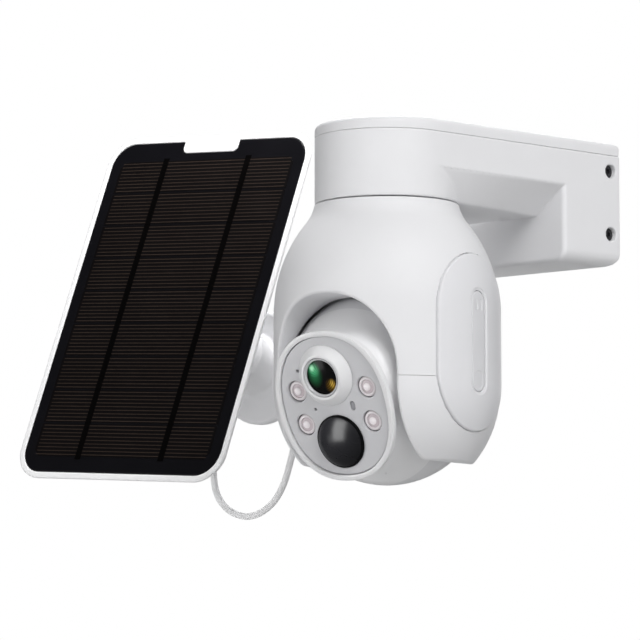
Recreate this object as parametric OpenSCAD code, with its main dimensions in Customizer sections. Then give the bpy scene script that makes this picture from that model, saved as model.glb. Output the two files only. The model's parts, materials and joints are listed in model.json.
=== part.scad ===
// Pan and tilt security camera on a wall arm, with a solar panel on its own wall base.
// Origin: on the wall plane, at the centre of the camera's wall plate.
// +X to the right when facing the wall, +Y into the wall, +Z up. Millimetres.

/* [Wall arm] */
// Distance from the wall to the pan axis
arm_reach = 120; // [105:1:160]
// Radius of the round boss at the free end of the arm
boss_r = 35; // [33:0.5:42]
// Width of the arm where it meets the wall
block_w = 105; // [100:1:130]
// Height of the wall block, with its lid
block_h = 62; // [56:1:76]
// Depth of the wall block, out from the wall
block_d = 39; // [34:1:48]
// Thickness of the lid
lid_t = 6.2; // [5:0.2:8]
// Height of the upright sides below the lid
side_h = 17.6; // [15:0.2:22]
// Depth of the boss below the lid
boss_h = 32.3; // [30:0.1:38]
// Width of the lower rib between boss and block
rib_w = 59; // [52:1:64]
// Wall thickness of the arm
arm_wall = 3; // [2.4:0.1:3.6]
// Spacing of the wall bolts across
bolt_x = 60; // [50:1:64]
// Spacing of the wall bolts up and down
bolt_z = 34; // [26:1:36]
// Radius of the wall bolt holes
bolt_hole_r = 2.6; // [2:0.1:3]

/* [Pan body] */
// Radius of the pan body at its widest
body_r = 54.7; // [53:0.1:66]
// Height of the pan body
body_h = 127; // [124:1:132]
// Height of the sloping shoulder
shoulder_h = 52.5; // [48:0.5:56]
// Height of the upright band below the shoulder
band_h = 37; // [35:0.5:40]
// Wall thickness of the pan body
body_wall = 2.5; // [2:0.1:3]
// Height of the tilt axis below the top of the pan body
tilt_drop = 87.9; // [86:0.1:90]
// Half width of the tunnel that the head tilts in
tunnel_half = 34.3; // [34:0.1:36]
// Height of the tunnel arch above the tilt axis
arch_h = 40.9; // [40:0.1:43]
// Half width of the oval side covers
cap_half = 27; // [24:0.5:29]
// Height of the oval side covers
cap_h = 85; // [76:1:88]
// How far the side covers stand proud
cap_proud = 0.8; // [0.4:0.1:1.2]
// Width of the port cover
port_w = 10; // [9:0.5:12]
// Height of the port cover
port_h = 48; // [42:1:52]

/* [Head] */
// Radius of the ball that tilts in the tunnel
ball_r = 48.5; // [46:0.1:48.8]
// Distance from the tilt axis to the face plate
face_y = 45; // [43:0.5:46]
// Height of the face centre above the tilt axis
face_z = 3.4; // [2:0.1:6]
// Half width of the face plate
face_half = 29.6; // [27:0.1:30]
// Half height of the face plate
face_up = 34.1; // [32:0.1:35.5]
// Width of the white rim round the face plate
rim_w = 2.9; // [2.6:0.1:3.6]
// Wall thickness of the head
head_wall = 2.4; // [2:0.1:2.8]
// Radius of the tilt shafts
shaft_r = 5; // [4:0.1:5.5]
// Radius of the main lens glass
lens_r = 9; // [7:0.1:9.4]
// Radius of the motion sensor dome
dome_r = 12.3; // [10:0.1:12.6]

/* [Solar panel] */
// Width of the solar panel
panel_w = 138.5; // [120:0.5:166]
// Height of the solar panel
panel_h = 201; // [170:1:240]
// Thickness of the panel frame
panel_t = 6; // [5:0.5:9]
// Width of the white frame round the dark sheet
frame_w = 3.2; // [2:0.1:4]
// Radius of the panel corners
panel_corner = 17; // [10:0.5:20]
// Number of solar cell strips
cell_rows = 9; // [6:1:12]
// Radius of the wall base
base_r = 31; // [30:0.5:40]
// Radius of the ball at the end of the solar arm
pivot_r = 8; // [7:0.1:8.4]
// Radius of the solar arm
tube_r = 6.5; // [5.5:0.1:7.5]

/* [Cable] */
// Diameter of the cable
cable_d = 3.5; // [3:0.1:4]

/* [Hidden] */
$fn = 96;
gap = 0.3;            // clearance between pieces that move past each other
fit = 0.05;           // radial clearance of a running fit
seam = 0.2;           // visible seam between fixed covers
slim = 0.01;          // thin slab used where a hull is stretched between two outlines
over = 1;             // how far a cut runs past the face it opens

pan_rest = 5;         // degrees that the body is turned from straight out
tilt_rest = 21;       // degrees that the head looks down

half_w = block_w / 2;
arm_top = block_h / 2;
lid_z = arm_top - lid_t;
side_z = lid_z - side_h;
boss_z = lid_z - boss_h;
floor_z = boss_z + arm_wall;
block_z = -block_h / 2;
side_slope = (half_w - boss_r) / arm_reach;

body_top = boss_z - 0.5;
tilt_z = boss_z - tilt_drop;
body_bottom = boss_z - body_h;
shoulder_z = body_top - shoulder_h;
band_z = shoulder_z - band_h;
neck_r = boss_r + 0.1;
foot_r = 56;          // arc radius of the rounded lower edge
neck_arc = 22;        // arc radius of the hollow under the boss
neck_lean = 12;       // degrees that the hollow starts at
neck_a = neck_r + neck_arc * cos(neck_lean) - body_r;
neck_b = shoulder_h + neck_arc * sin(neck_lean);
shoulder_arc = (neck_a * neck_a + neck_b * neck_b - neck_arc * neck_arc) / (2 * (neck_arc - neck_a));
shoulder_x = body_r - shoulder_arc;
hollow_x = neck_r + neck_arc * cos(neck_lean);
hollow_z = body_top + neck_arc * sin(neck_lean);
meet_k = shoulder_arc / (shoulder_arc + neck_arc);
meet_z = shoulder_z + (hollow_z - shoulder_z) * meet_k;

cavity_r = ball_r + 1.5;
tunnel_wall = 2;
roof_z = tilt_z + cavity_r + tunnel_wall;
slab_half = tunnel_half - 0.7;
cap_z = tilt_z + 17.8;
port_y = -2.5;

spindle_r = 12;
pan_m = 0.8;
pan_teeth = 45;
pan_pinion_teeth = 14;
pan_centre = pan_m * (pan_teeth + pan_pinion_teeth) / 2;
tilt_m = 0.8;
tilt_teeth = 40;
tilt_pinion_teeth = 12;
tilt_centre = tilt_m * (tilt_teeth + tilt_pinion_teeth) / 2;
gear_z = boss_z + 4.8;
tilt_gear_x = tunnel_half + 3.7;

lens_x = -1.2;
lens_z = face_z + 15.2;
dome_x = -0.7;
dome_z = face_z - 17.6;
dome_rise = 5.5;      // height of the dome above its ring
dome_ring_h = 1.2;
led_spots = [[-20.1, face_z + 8], [20.1, face_z + 8], [-19.3, face_z - 8.7], [19.3, face_z - 8.7]];
led_pocket_r = 5.3;
plate_t = 2.6;
mic_spot = [-16.7, face_z + 17.2];
status_spot = [-11.5, face_z - 1.2];
light_spot = [10.2, face_z - 0.6];

base_x = -187;
base_z = -67;
arm_rise = 20;        // degrees that the solar arm climbs
arm_len = 55.4;       // from the middle of the base face to the ball
base_t = 6;
pivot_y = -base_t - arm_len * cos(arm_rise);
pivot_z = base_z + arm_len * sin(arm_rise);
panel_turn = 5.64;    // degrees that the panel is turned about the vertical
panel_lean = 20.25;   // degrees that the panel leans back
panel_roll = -3.64;   // degrees that the panel is rolled at its ball
cup_r = pivot_r + 1.6; // outside of the cup that lines the ball joint
pivot_back = 26;      // from the panel's front face back to the ball
sheet_t = 1;
edge_t = 2.6;         // thickness of the panel's visible edge
skirt = 3.5;          // how far the frame's rear wall stands in from that edge
cell_w = panel_w - 20.5;
cell_top = panel_h / 2 - 14.3;
cell_bottom = -panel_h / 2 + 12;

// Cable route, from the gland under the solar arm to the plug at the wall block
route = [
    [-187, -40, -73], [-187, -40.3, -88], [-187, -40.6, -104],
    [-187, -40.8, -118], [-186.6, -41, -129], [-185, -40.5, -137], [-180.5, -40, -143.5],
    [-174.5, -39, -147.8], [-167, -38, -149.9], [-160.5, -37, -149.4], [-154, -36, -146.6],
    [-148, -35, -141.6], [-143, -34, -133.5], [-139.6, -33, -123], [-137, -32, -112],
    [-134.5, -31, -98], [-131.5, -29, -82], [-127.5, -27, -66], [-122, -24, -50],
    [-115, -21, -36], [-106.5, -18, -24], [-97, -16, -16], [-88, -15, -12.5], [-80, -15, -12]
];
gland_tip = route[0];
plug_end = route[len(route) - 1];
socket_y = plug_end[1];
socket_z = plug_end[2];

// ---------- shared shapes ----------

module at_pan() {
    translate([0, -arm_reach, 0]) rotate([0, 0, pan_rest]) children();
}

module at_head() {
    at_pan() translate([0, 0, tilt_z]) rotate([tilt_rest, 0, 0]) children();
}

// Panel frame: X across, Y from the front face back, Z up the panel
module at_panel() {
    translate([base_x, pivot_y, pivot_z]) rotate([0, 0, panel_turn]) rotate([-panel_lean, 0, 0])
        rotate([0, -panel_roll, 0]) translate([0, -pivot_back, 0]) children();
}

// Along the solar arm: Z runs from the middle of the base face to the ball
module at_solar_arm() {
    translate([base_x, -base_t, base_z]) rotate([90 - arm_rise, 0, 0]) children();
}

// Draws forward (-Y) from the plane y = -from
module forward(from) {
    translate([0, -from, 0]) rotate([90, 0, 0]) children();
}

module along_x(from) {
    translate([from, 0, 0]) rotate([0, 90, 0]) children();
}

module both_sides() {
    children();
    mirror([1, 0, 0]) children();
}

module ring(outer, inner, h) {
    difference() {
        cylinder(r = outer, h = h);
        translate([0, 0, -over]) cylinder(r = inner, h = h + 2 * over);
    }
}

module gear(teeth, m, h, bore) {
    r = teeth * m / 2;
    root = r - 1.1 * m;
    tip = r + 0.8 * m;
    wide = 0.74 * m;
    narrow = 0.34 * m;
    linear_extrude(h) difference() {
        union() {
            circle(r = root);
            for (i = [0 : teeth - 1]) rotate(360 * i / teeth)
                polygon([[root - 0.4, -wide], [tip, -narrow], [tip, narrow], [root - 0.4, wide]]);
        }
        if (bore > 0) circle(r = bore);
    }
}

module stadium(half, h) {
    r = min(half, h / 2);
    translate([-r, -(h / 2 - r)]) square([2 * r, h - 2 * r]);
    for (s = [-1, 1]) translate([0, s * (h / 2 - r)]) circle(r = r);
}

module rounded(w, h, r) {
    translate([-w / 2 + r, -h / 2]) square([w - 2 * r, h]);
    translate([-w / 2, -h / 2 + r]) square([w, h - 2 * r]);
    for (x = [-1, 1], y = [-1, 1]) translate([x * (w / 2 - r), y * (h / 2 - r)]) circle(r = r);
}

// Plan of the arm: round boss, straight tapering sides, flat at the wall
tuck = 0.2; // the straight sides end this far inside the round end

module arm_plan(inset = 0) {
    r = boss_r - inset;
    w = half_w - inset;
    lean = atan2(arm_reach, w) - acos(r / norm([w, arm_reach]));
    t = [r * cos(lean) - tuck, -arm_reach + r * sin(lean)];
    translate([0, -arm_reach]) circle(r = r);
    polygon([t, [w, 0], [-w, 0], [-t[0], t[1]]]);
}

function side_at(y) = half_w + y * side_slope;

// ---------- wall arm ----------

module arm_outside() {
    rib_y = -block_d + tuck;
    translate([0, 0, side_z]) linear_extrude(side_h) arm_plan();
    translate([0, -arm_reach, boss_z]) cylinder(r = boss_r, h = boss_h);
    translate([0, 0, block_z]) linear_extrude(block_h - lid_t) intersection() {
        arm_plan();
        translate([-half_w, -block_d]) square([block_w, block_d]);
    }
    // rib whose sides slope in from the upright sides
    hull() {
        translate([0, 0, side_z]) linear_extrude(slim) polygon([
            [boss_r - 0.5, -arm_reach], [side_at(rib_y) - tuck, rib_y],
            [-side_at(rib_y) + tuck, rib_y], [-boss_r + 0.5, -arm_reach]]);
        translate([0, 0, boss_z]) linear_extrude(slim) polygon([
            [rib_w / 2, -arm_reach], [rib_w / 2, rib_y], [-rib_w / 2, rib_y], [-rib_w / 2, -arm_reach]]);
    }
}

module arm_inside() {
    translate([0, -arm_reach, floor_z]) cylinder(r = boss_r - arm_wall, h = boss_h);
    translate([0, 0, side_z + arm_wall]) linear_extrude(side_h) arm_plan(arm_wall);
    translate([-rib_w / 2 + 5, -arm_reach, floor_z]) cube([rib_w - 10, arm_reach - 2, boss_h]);
    translate([0, 0, block_z + arm_wall]) linear_extrude(block_h) intersection() {
        arm_plan(arm_wall);
        translate([-half_w, -block_d + arm_wall]) square([block_w, block_d]);
    }
    // open back of the block
    translate([-half_w + 5, -4, block_z + arm_wall]) cube([block_w - 10, 4 + over, block_h - lid_t - arm_wall]);
}

side_screw_y = -6.5;
side_screw_z = [lid_z - 8, block_z + 16];
side_seat_x = side_at(side_screw_y) - 3.6;

module at_side_screws() {
    both_sides() for (z = side_screw_z) translate([0, side_screw_y, z]) children();
}

module bracket_arm() {
    color([0.92, 0.92, 0.93]) difference() {
        union() {
            difference() {
                arm_outside();
                arm_inside();
            }
            at_side_screws() along_x(side_seat_x - 2) cylinder(r = 6, h = 4);
            for (x = [-1, 1]) translate([x * 13, -arm_reach + pan_centre, boss_z + 1])
                cylinder(r = 2.6, h = 12.5);
        }
        at_side_screws() {
            along_x(side_seat_x) cylinder(r = 3.5, h = 12);
            along_x(side_seat_x - 8) cylinder(r = 1.7, h = 12);
        }
        translate([0, -arm_reach, boss_z - over]) cylinder(r = spindle_r + 2, h = 8);
        for (x = [-1, 1]) translate([x * 13, -arm_reach + pan_centre, boss_z + 6]) cylinder(r = 1, h = 10);
        translate([-half_w - 5, socket_y, socket_z]) rotate([0, 90, 0]) cylinder(r = 6, h = 20);
    }
}

module bracket_lid() {
    step = 2.2;
    color([0.93, 0.93, 0.94]) difference() {
        union() {
            translate([0, 0, lid_z]) linear_extrude(lid_t - step) arm_plan();
            translate([0, 0, arm_top - step]) linear_extrude(step) arm_plan(1.2);
            translate([0, 0, lid_z - 2]) linear_extrude(2 + slim) intersection() {
                arm_plan(arm_wall + 0.1);
                translate([-half_w, -arm_reach * 2]) square([block_w, arm_reach * 2 - 5]);
            }
        }
        translate([0, 0, lid_z - 2 - over]) linear_extrude(2 + over + 1.5) intersection() {
            arm_plan(arm_wall + 2);
            translate([-half_w, -arm_reach * 2]) square([block_w, arm_reach * 2 - 7]);
        }
    }
}

module wall_plate() {
    plate_w = 2 * (side_seat_x - 2.5);
    low = block_z + arm_wall + 0.5;
    color("silver") difference() {
        union() {
            translate([-plate_w / 2, -3, low]) cube([plate_w, 3, lid_z - 3 - low]);
            for (s = [-1, 1], z = side_screw_z)
                translate([s * (side_seat_x - 6) - 4, -14, z - 6]) cube([8, 12, 12]);
        }
        for (x = [-1, 1], z = [-1, 1]) translate([x * bolt_x / 2, over, z * bolt_z / 2])
            rotate([90, 0, 0]) cylinder(r = bolt_hole_r, h = 6);
        at_side_screws() along_x(side_seat_x - 14) cylinder(r = 1.6, h = 14);
        translate([0, over, 0]) rotate([90, 0, 0]) cylinder(r = 9, h = 6);
    }
}

module side_screws() {
    color([0.2, 0.2, 0.2]) at_side_screws() {
        difference() {
            along_x(side_seat_x) cylinder(r = 3.1, h = 2);
            along_x(side_seat_x + 0.9) cylinder(r = 1.4, h = 2, $fn = 6);
        }
        along_x(side_seat_x - 9) cylinder(r = 1.55, h = 9);
    }
}

module power_socket() {
    color([0.25, 0.25, 0.27]) translate([0, socket_y, socket_z]) {
        difference() {
            along_x(-half_w - 1.5) cylinder(r = 5.9, h = 7.8);
            along_x(-half_w - 2.5) cylinder(r = 3.2, h = 7.6);
        }
        along_x(-half_w + 2) cylinder(r = 1, h = 4);
    }
}

module cable_plug() {
    face = -half_w - 1.5;
    color([0.9, 0.9, 0.91]) translate([0, socket_y, socket_z]) {
        difference() {
            union() {
                along_x(face - 14) cylinder(r = 5, h = 14);
                along_x(face) cylinder(r = 3.15, h = 6);
                along_x(plug_end[0]) cylinder(r1 = cable_d / 2 + 0.5, r2 = 3.6, h = face - 14 - plug_end[0]);
            }
            along_x(face - over) cylinder(r = 1.8, h = 12);
        }
    }
}

// ---------- pan drive ----------

module pan_bushing() {
    color("dimgray") translate([0, -arm_reach, 0]) difference() {
        union() {
            translate([0, 0, boss_z]) cylinder(r = spindle_r + 2, h = 4);
            translate([0, 0, floor_z]) cylinder(r = spindle_r + 6, h = 1.5);
        }
        translate([0, 0, boss_z - over]) cylinder(r = spindle_r + fit, h = 10);
    }
}

module pan_motor() {
    z = boss_z + 13.5;
    color("silver") translate([0, -arm_reach + pan_centre, z]) difference() {
        union() {
            cylinder(r = 9, h = 12);
            translate([-16, -3, 0]) cube([32, 6, 1.5]);
        }
        translate([0, 0, -over]) cylinder(r = 1.5 + fit, h = 7);
        for (x = [-1, 1]) translate([x * 13, 0, -over]) cylinder(r = 1.3, h = 4);
    }
}

module pan_motor_screws() {
    color("silver") for (x = [-1, 1])
        translate([x * 13, -arm_reach + pan_centre, boss_z + 15]) {
            cylinder(r = 2.2, h = 1.4);
            translate([0, 0, -7]) cylinder(r = 0.95, h = 7);
        }
}

module pan_pinion() {
    color("ivory") translate([0, -arm_reach + pan_centre, gear_z]) {
        rotate(270 + 180 / pan_pinion_teeth) gear(pan_pinion_teeth, pan_m, 4.4, 0);
        cylinder(r = 1.5, h = 13);
    }
}

module pan_spindle() {
    color("dimgray") at_pan() difference() {
        union() {
            translate([0, 0, body_top - 3]) cylinder(r = 20, h = 3);
            translate([0, 0, body_top - 1]) cylinder(r = spindle_r, h = gear_z + 7.5 - body_top + 1);
        }
        translate([0, 0, body_top - 5]) cylinder(r = 8, h = 40);
    }
}

module pan_gear() {
    color("ivory") translate([0, -arm_reach, gear_z]) rotate(90) gear(pan_teeth, pan_m, 4.4, spindle_r);
}

module spindle_clip() {
    color("silver") translate([0, -arm_reach, gear_z + 4.4]) ring(spindle_r + 2, spindle_r, 1.2);
}

// ---------- pan body ----------

// Half outline of the pan body, drawn up the page, with its axis at x = 0
module body_half(inset = 0) {
    difference() {
        translate([0, meet_z]) square([body_r, body_top - inset - meet_z]);
        translate([hollow_x, hollow_z]) circle(r = neck_arc + inset);
        translate([hollow_x, hollow_z - neck_arc]) square([body_r, 2 * neck_arc]);
    }
    intersection() {
        translate([shoulder_x, shoulder_z]) circle(r = shoulder_arc - inset);
        translate([0, shoulder_z]) square([body_r + 5, meet_z - shoulder_z]);
    }
    translate([0, band_z]) square([body_r - inset, shoulder_z - band_z]);
    intersection() {
        translate([body_r - foot_r, band_z]) circle(r = foot_r - inset);
        translate([0, body_bottom + inset]) square([body_r + 5, band_z - body_bottom - inset]);
    }
}

module body_solid(inset = 0) {
    rotate_extrude() intersection() {
        body_half(inset);
        translate([0, -500]) square([200, 1000]);
    }
}

function arch_points(w, h, n = 30) = [for (i = [0 : n]) let (a = 180 * i / n) [w * cos(a), h * sin(a)]];

// Tunnel that the head tilts in, about the tilt axis
module tunnel(grow = 0) {
    w = tunnel_half + grow;
    forward(0) linear_extrude(80) {
        polygon(arch_points(w, arch_h + grow));
        translate([-w, -80]) square([2 * w, 80.01]);
    }
    intersection() {
        sphere(r = cavity_r + grow);
        translate([-w, -80, -80]) cube([2 * w, 160, 160]);
    }
}

module cap_prism(grow = 0, from = 30) {
    translate([0, 0, cap_z]) along_x(from) rotate(90) linear_extrude(40)
        stadium(cap_half + grow, cap_h + 2 * grow);
}

module port_prism(grow = 0, from = 30) {
    translate([0, port_y, cap_z]) along_x(from) rotate(90) linear_extrude(40)
        stadium(port_w / 2 + grow, port_h + 2 * grow);
}

speaker_y = 8;
speaker_z = tilt_z + 20;
screw_posts = [for (x = [-1, 1], y = [-1, 1]) [x * (tunnel_half + 4.9), y * 22.5]];

module body_shell() {
    bush_r = shaft_r + 4.5;
    difference() {
        union() {
            difference() {
                body_solid();
                difference() {
                    body_solid(body_wall);
                    translate([0, 0, tilt_z]) tunnel(tunnel_wall);
                }
            }
            both_sides() translate([0, 0, tilt_z]) along_x(tunnel_half) cylinder(r = bush_r, h = 3.2);
            for (p = screw_posts) translate([p[0], p[1], tilt_z - 16]) cylinder(r = 3, h = 30);
            // motor posts
            for (y = [-1, 1]) translate([0, y * 13.5, tilt_z + tilt_centre + 3.5])
                along_x(-tunnel_half - 8.2) cylinder(r = 2.5, h = 8.2);
            // speaker seat
            translate([0, speaker_y, speaker_z]) along_x(tunnel_half) ring(12, 10, 6);
            // board posts
            for (a = [90, 210, 330]) rotate(a) translate([20, 0, body_top - 9]) cylinder(r = 2.5, h = 8);
        }
        translate([0, 0, tilt_z]) tunnel();
        both_sides() translate([0, 0, tilt_z]) along_x(tunnel_half - over) cylinder(r = shaft_r + 2.5, h = 8);
        translate([0, 0, body_top - 6]) cylinder(r = spindle_r, h = 10);
        translate([0, 0, body_top - 3]) cylinder(r = 20, h = 10);
        for (p = screw_posts) translate([p[0], p[1], tilt_z - 20]) cylinder(r = 1.4, h = 31);
        both_sides() {
            difference() {
                cap_prism(seam);
                body_solid(1.2);
            }
            cap_prism(-2, tunnel_half + tunnel_wall + 4);
        }
        // clearance for the rim when the head looks straight down
        translate([0, 0, tilt_z]) intersection() {
            along_x(-tunnel_half) cylinder(r = 57.5, h = 2 * tunnel_half);
            translate([-tunnel_half, 0, -70]) cube([2 * tunnel_half, 70, 42]);
        }
    }
}

module body_upper() {
    color([0.92, 0.92, 0.93]) at_pan() intersection() {
        body_shell();
        translate([-100, -100, tilt_z]) cube([200, 200, 200]);
    }
}

module body_lower() {
    color([0.92, 0.92, 0.93]) at_pan() intersection() {
        body_shell();
        translate([-100, -100, tilt_z - seam - 200]) cube([200, 200, 200]);
    }
}

module body_screws() {
    color("silver") at_pan() for (p = screw_posts) translate([p[0], p[1], tilt_z - 17.6]) {
        cylinder(r = 2.6, h = 1.6);
        cylinder(r = 1.35, h = 28);
    }
}

module side_cap(port) {
    difference() {
        intersection() {
            cap_prism();
            difference() {
                body_solid(-cap_proud);
                body_solid(1.1);
            }
        }
        if (port) port_prism(0.25);
    }
    // lip inside the body opening
    intersection() {
        difference() {
            cap_prism(-2.3);
            cap_prism(-4);
        }
        difference() {
            body_solid(1);
            body_solid(3.5);
        }
    }
}

module side_cap_right() {
    color([0.9, 0.9, 0.91]) at_pan() side_cap(true);
}

module side_cap_left() {
    color([0.9, 0.9, 0.91]) at_pan() mirror([1, 0, 0]) side_cap(false);
}

module battery_cradle() {
    color([0.2, 0.2, 0.22]) at_pan() difference() {
        translate([-33, -20, roof_z + gap]) cube([66, 40, 8]);
        for (y = [-9.6, 9.6]) translate([0, y, roof_z + 10.5]) along_x(-33 - over)
            cylinder(r = 9.2, h = 68);
    }
}

module battery_cells() {
    color("steelblue") at_pan() for (y = [-9.6, 9.6]) translate([0, y, roof_z + 10.5]) {
        along_x(-32.5) cylinder(r = 9.1, h = 64);
        along_x(31.5) cylinder(r = 3, h = 1);
    }
}

module main_board() {
    z = body_top - 10.6;
    color("darkgreen") at_pan() {
        translate([0, 0, z]) difference() {
            cylinder(r = 30, h = 1.6);
            translate([0, 0, -over]) cylinder(r = 6, h = 4);
        }
        translate([-22, -8, z - 1.4]) cube([12, 12, 1.4]);
        translate([10, -6, z - 1.2]) cube([9, 9, 1.2]);
    }
}

module speaker() {
    color([0.15, 0.15, 0.15]) at_pan() translate([0, speaker_y, speaker_z]) {
        along_x(tunnel_half + 6) cylinder(r = 11, h = 3);
        along_x(tunnel_half + tunnel_wall + 0.1) cylinder(r = 9.9, h = 6 - tunnel_wall);
    }
}

module tilt_bushings() {
    color("dimgray") at_pan() both_sides() translate([0, 0, tilt_z]) along_x(tunnel_half)
        ring(shaft_r + 2.5, shaft_r + fit, 3.2);
}

module tilt_motor() {
    x = tunnel_half + 8.2;
    color("silver") at_pan() mirror([1, 0, 0]) translate([0, 0, tilt_z + tilt_centre]) difference() {
        union() {
            along_x(x) cylinder(r = 8.5, h = 7);
            translate([x, -16, 0.5]) cube([1.4, 32, 6]);
        }
        along_x(x - over) cylinder(r = 1.2 + fit, h = 6);
    }
}

module tilt_pinion() {
    color("ivory") at_pan() mirror([1, 0, 0]) translate([0, 0, tilt_z + tilt_centre]) {
        along_x(tilt_gear_x) rotate(180 / tilt_pinion_teeth) gear(tilt_pinion_teeth, tilt_m, 3, 0);
        along_x(tilt_gear_x) cylinder(r = 1.2, h = 9);
    }
}

module port_tray() {
    in = body_r - 11;
    color([0.85, 0.85, 0.86]) at_pan() difference() {
        union() {
            translate([0, port_y, cap_z]) along_x(in) rotate(90) linear_extrude(1.5)
                stadium(port_w / 2 + 3, port_h + 6);
            intersection() {
                difference() {
                    port_prism(1.7, in);
                    port_prism(0.4, in - over);
                }
                body_solid(1.15);
            }
        }
        translate([in - over, port_y, cap_z + 14]) along_x(0) cylinder(r = 1.6 + fit, h = 6);
        translate([in - over, port_y - 1.2, cap_z - 2]) cube([4, 2.4, 11.5]);
        translate([in - over, port_y - 1.7, cap_z - 17]) cube([4, 3.4, 9]);
    }
}

module reset_button() {
    in = body_r - 11;
    color("white") at_pan() translate([0, port_y, cap_z + 14]) {
        along_x(in - 1.8) cylinder(r = 1.6, h = 5.3);
        along_x(in - 1.8) cylinder(r = 2.6, h = 1.5);
    }
}

module port_cover() {
    color([0.83, 0.83, 0.84]) at_pan() intersection() {
        port_prism();
        difference() {
            body_solid(-cap_proud + 0.3);
            body_solid(1.1);
        }
    }
}

// ---------- head ----------

// Egg outline of the face, about the face centre
function face_points(grow = 0, n = 72) = [for (i = [0 : n - 1])
    let (a = 360 * i / n, c = cos(a), s = sin(a), k = 2 / 2.25)
    [(face_half + grow) * sign(c) * pow(abs(c), k), (face_up + grow) * sign(s) * pow(abs(s), k)]];

// Egg shaped prism from y = -from forward
module face_prism(grow, from, depth) {
    translate([0, 0, face_z]) forward(from) linear_extrude(depth) polygon(face_points(grow));
}

module head_solid(inset = 0) {
    intersection() {
        sphere(r = ball_r - inset);
        translate([-slab_half + inset, -60, -60]) cube([2 * (slab_half - inset), 120, 120]);
    }
    // neck that flares from the ball out to the rim
    hull() {
        face_prism(rim_w - inset, face_y - 4, 5.2);
        translate([0, 0, face_z - 4]) forward(24) linear_extrude(slim) polygon(face_points(2.4 - inset));
    }
}

head_split = 20;
head_posts = [for (x = [-1, 1], z = [-1, 1]) [x * (face_half - 4.9), face_z + z * 22]];

module head_shell() {
    color([0.91, 0.91, 0.92]) at_head() difference() {
        union() {
            difference() {
                head_solid();
                head_solid(head_wall);
            }
            intersection() {
                head_solid();
                union() {
                    for (p = head_posts) translate([p[0], 0, p[1]]) forward(-40) cylinder(r = 4.2, h = 60);
                    both_sides() along_x(slab_half - head_wall - 4) cylinder(r = shaft_r + 2.5, h = 6);
                }
            }
        }
        translate([-60, -head_split - 100, -60]) cube([120, 100, 120]);
        for (p = head_posts) translate([p[0], 0, p[1]]) {
            forward(-60) cylinder(r = 3, h = 50);
            forward(-12) cylinder(r = 1.6, h = 60);
        }
        both_sides() along_x(20) cylinder(r = shaft_r, h = 30);
    }
}

module front_bezel() {
    color([0.93, 0.93, 0.94]) at_head() difference() {
        union() {
            difference() {
                head_solid();
                head_solid(head_wall);
            }
            for (p = head_posts) translate([p[0], 0, p[1]]) forward(head_split) cylinder(r = 3.4, h = 17);
            difference() {
                face_prism(rim_w - head_wall + 0.4, face_y - plate_t - 1.6, 1.6);
                face_prism(-3, 30, 20);
            }
        }
        translate([-60, -head_split, -60]) cube([120, 100, 120]);
        face_prism(0.25, face_y - plate_t, 20);
        for (p = head_posts) translate([p[0], 0, p[1]]) forward(head_split - 1) cylinder(r = 1.3, h = 14);
        // way out for the camera and the lamps
        face_prism(-3.2, 30, 20);
    }
}

module head_screws() {
    color([0.2, 0.2, 0.2]) at_head() for (p = head_posts) translate([p[0], 0, p[1]]) {
        forward(-12) cylinder(r = 2.7, h = 2);
        forward(-10.5) cylinder(r = 1.25, h = 42);
    }
}

module tilt_shafts() {
    color("dimgray") at_head() {
        along_x(slab_half - 5) cylinder(r = shaft_r, h = 9.5);
        mirror([1, 0, 0]) along_x(slab_half - 5) cylinder(r = shaft_r, h = 13.2);
    }
}

module tilt_gear() {
    color("ivory") at_pan() mirror([1, 0, 0]) translate([0, 0, tilt_z]) along_x(tilt_gear_x)
        rotate(180) gear(tilt_teeth, tilt_m, 3, shaft_r);
}

module face_plate() {
    color([0.7, 0.7, 0.73]) at_head() difference() {
        face_prism(0, face_y - plate_t, plate_t);
        translate([lens_x, 0, lens_z]) forward(30) cylinder(r = lens_r + 1.9, h = 20);
        translate([dome_x, 0, dome_z]) forward(30) cylinder(r = dome_r - 1, h = 20);
        for (p = led_spots) translate([p[0], 0, p[1]]) forward(30) cylinder(r = led_pocket_r, h = 20);
        translate([mic_spot[0], 0, mic_spot[1]]) forward(30) cylinder(r = 0.7, h = 20);
        translate([status_spot[0], 0, status_spot[1]]) forward(30) cylinder(r = 0.6, h = 20);
        translate([light_spot[0], 0, light_spot[1]]) forward(30) linear_extrude(20) stadium(1.3, 4.4);
    }
}

module lens_collar() {
    color([0.9, 0.9, 0.92]) at_head() translate([lens_x, 0, lens_z]) forward(face_y) difference() {
        cylinder(r1 = lens_r + 6, r2 = lens_r + 2.8, h = 5);
        translate([0, 0, -over]) cylinder(r = lens_r + 1.8, h = 8);
    }
}

module lens_ring() {
    color([0.3, 0.3, 0.32]) at_head() translate([lens_x, 0, lens_z]) forward(face_y - plate_t - 1)
        ring(lens_r + 1.7, lens_r, plate_t + 6.4);
}

module lens_glass() {
    color([0.1, 0.16, 0.14]) at_head() translate([lens_x, 0, lens_z]) forward(face_y + 1.6)
        intersection() {
            cylinder(r = lens_r - 0.02, h = 4);
            translate([0, 0, -16]) sphere(r = 18.5);
        }
}

module camera_module() {
    color([0.1, 0.1, 0.1]) at_head() translate([lens_x, 0, lens_z]) {
        forward(face_y - 12) cylinder(r = lens_r - 0.05, h = 13.6);
        forward(face_y - 15) translate([-8.5, -8.5, 0]) cube([17, 17, 3]);
    }
}

module sensor_board() {
    color("darkgreen") at_head() difference() {
        face_prism(-4.2, face_y - 16.6, 1.6);
        for (p = head_posts) translate([p[0], 0, p[1]]) forward(20) cylinder(r = 3.7, h = 20);
    }
}

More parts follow.
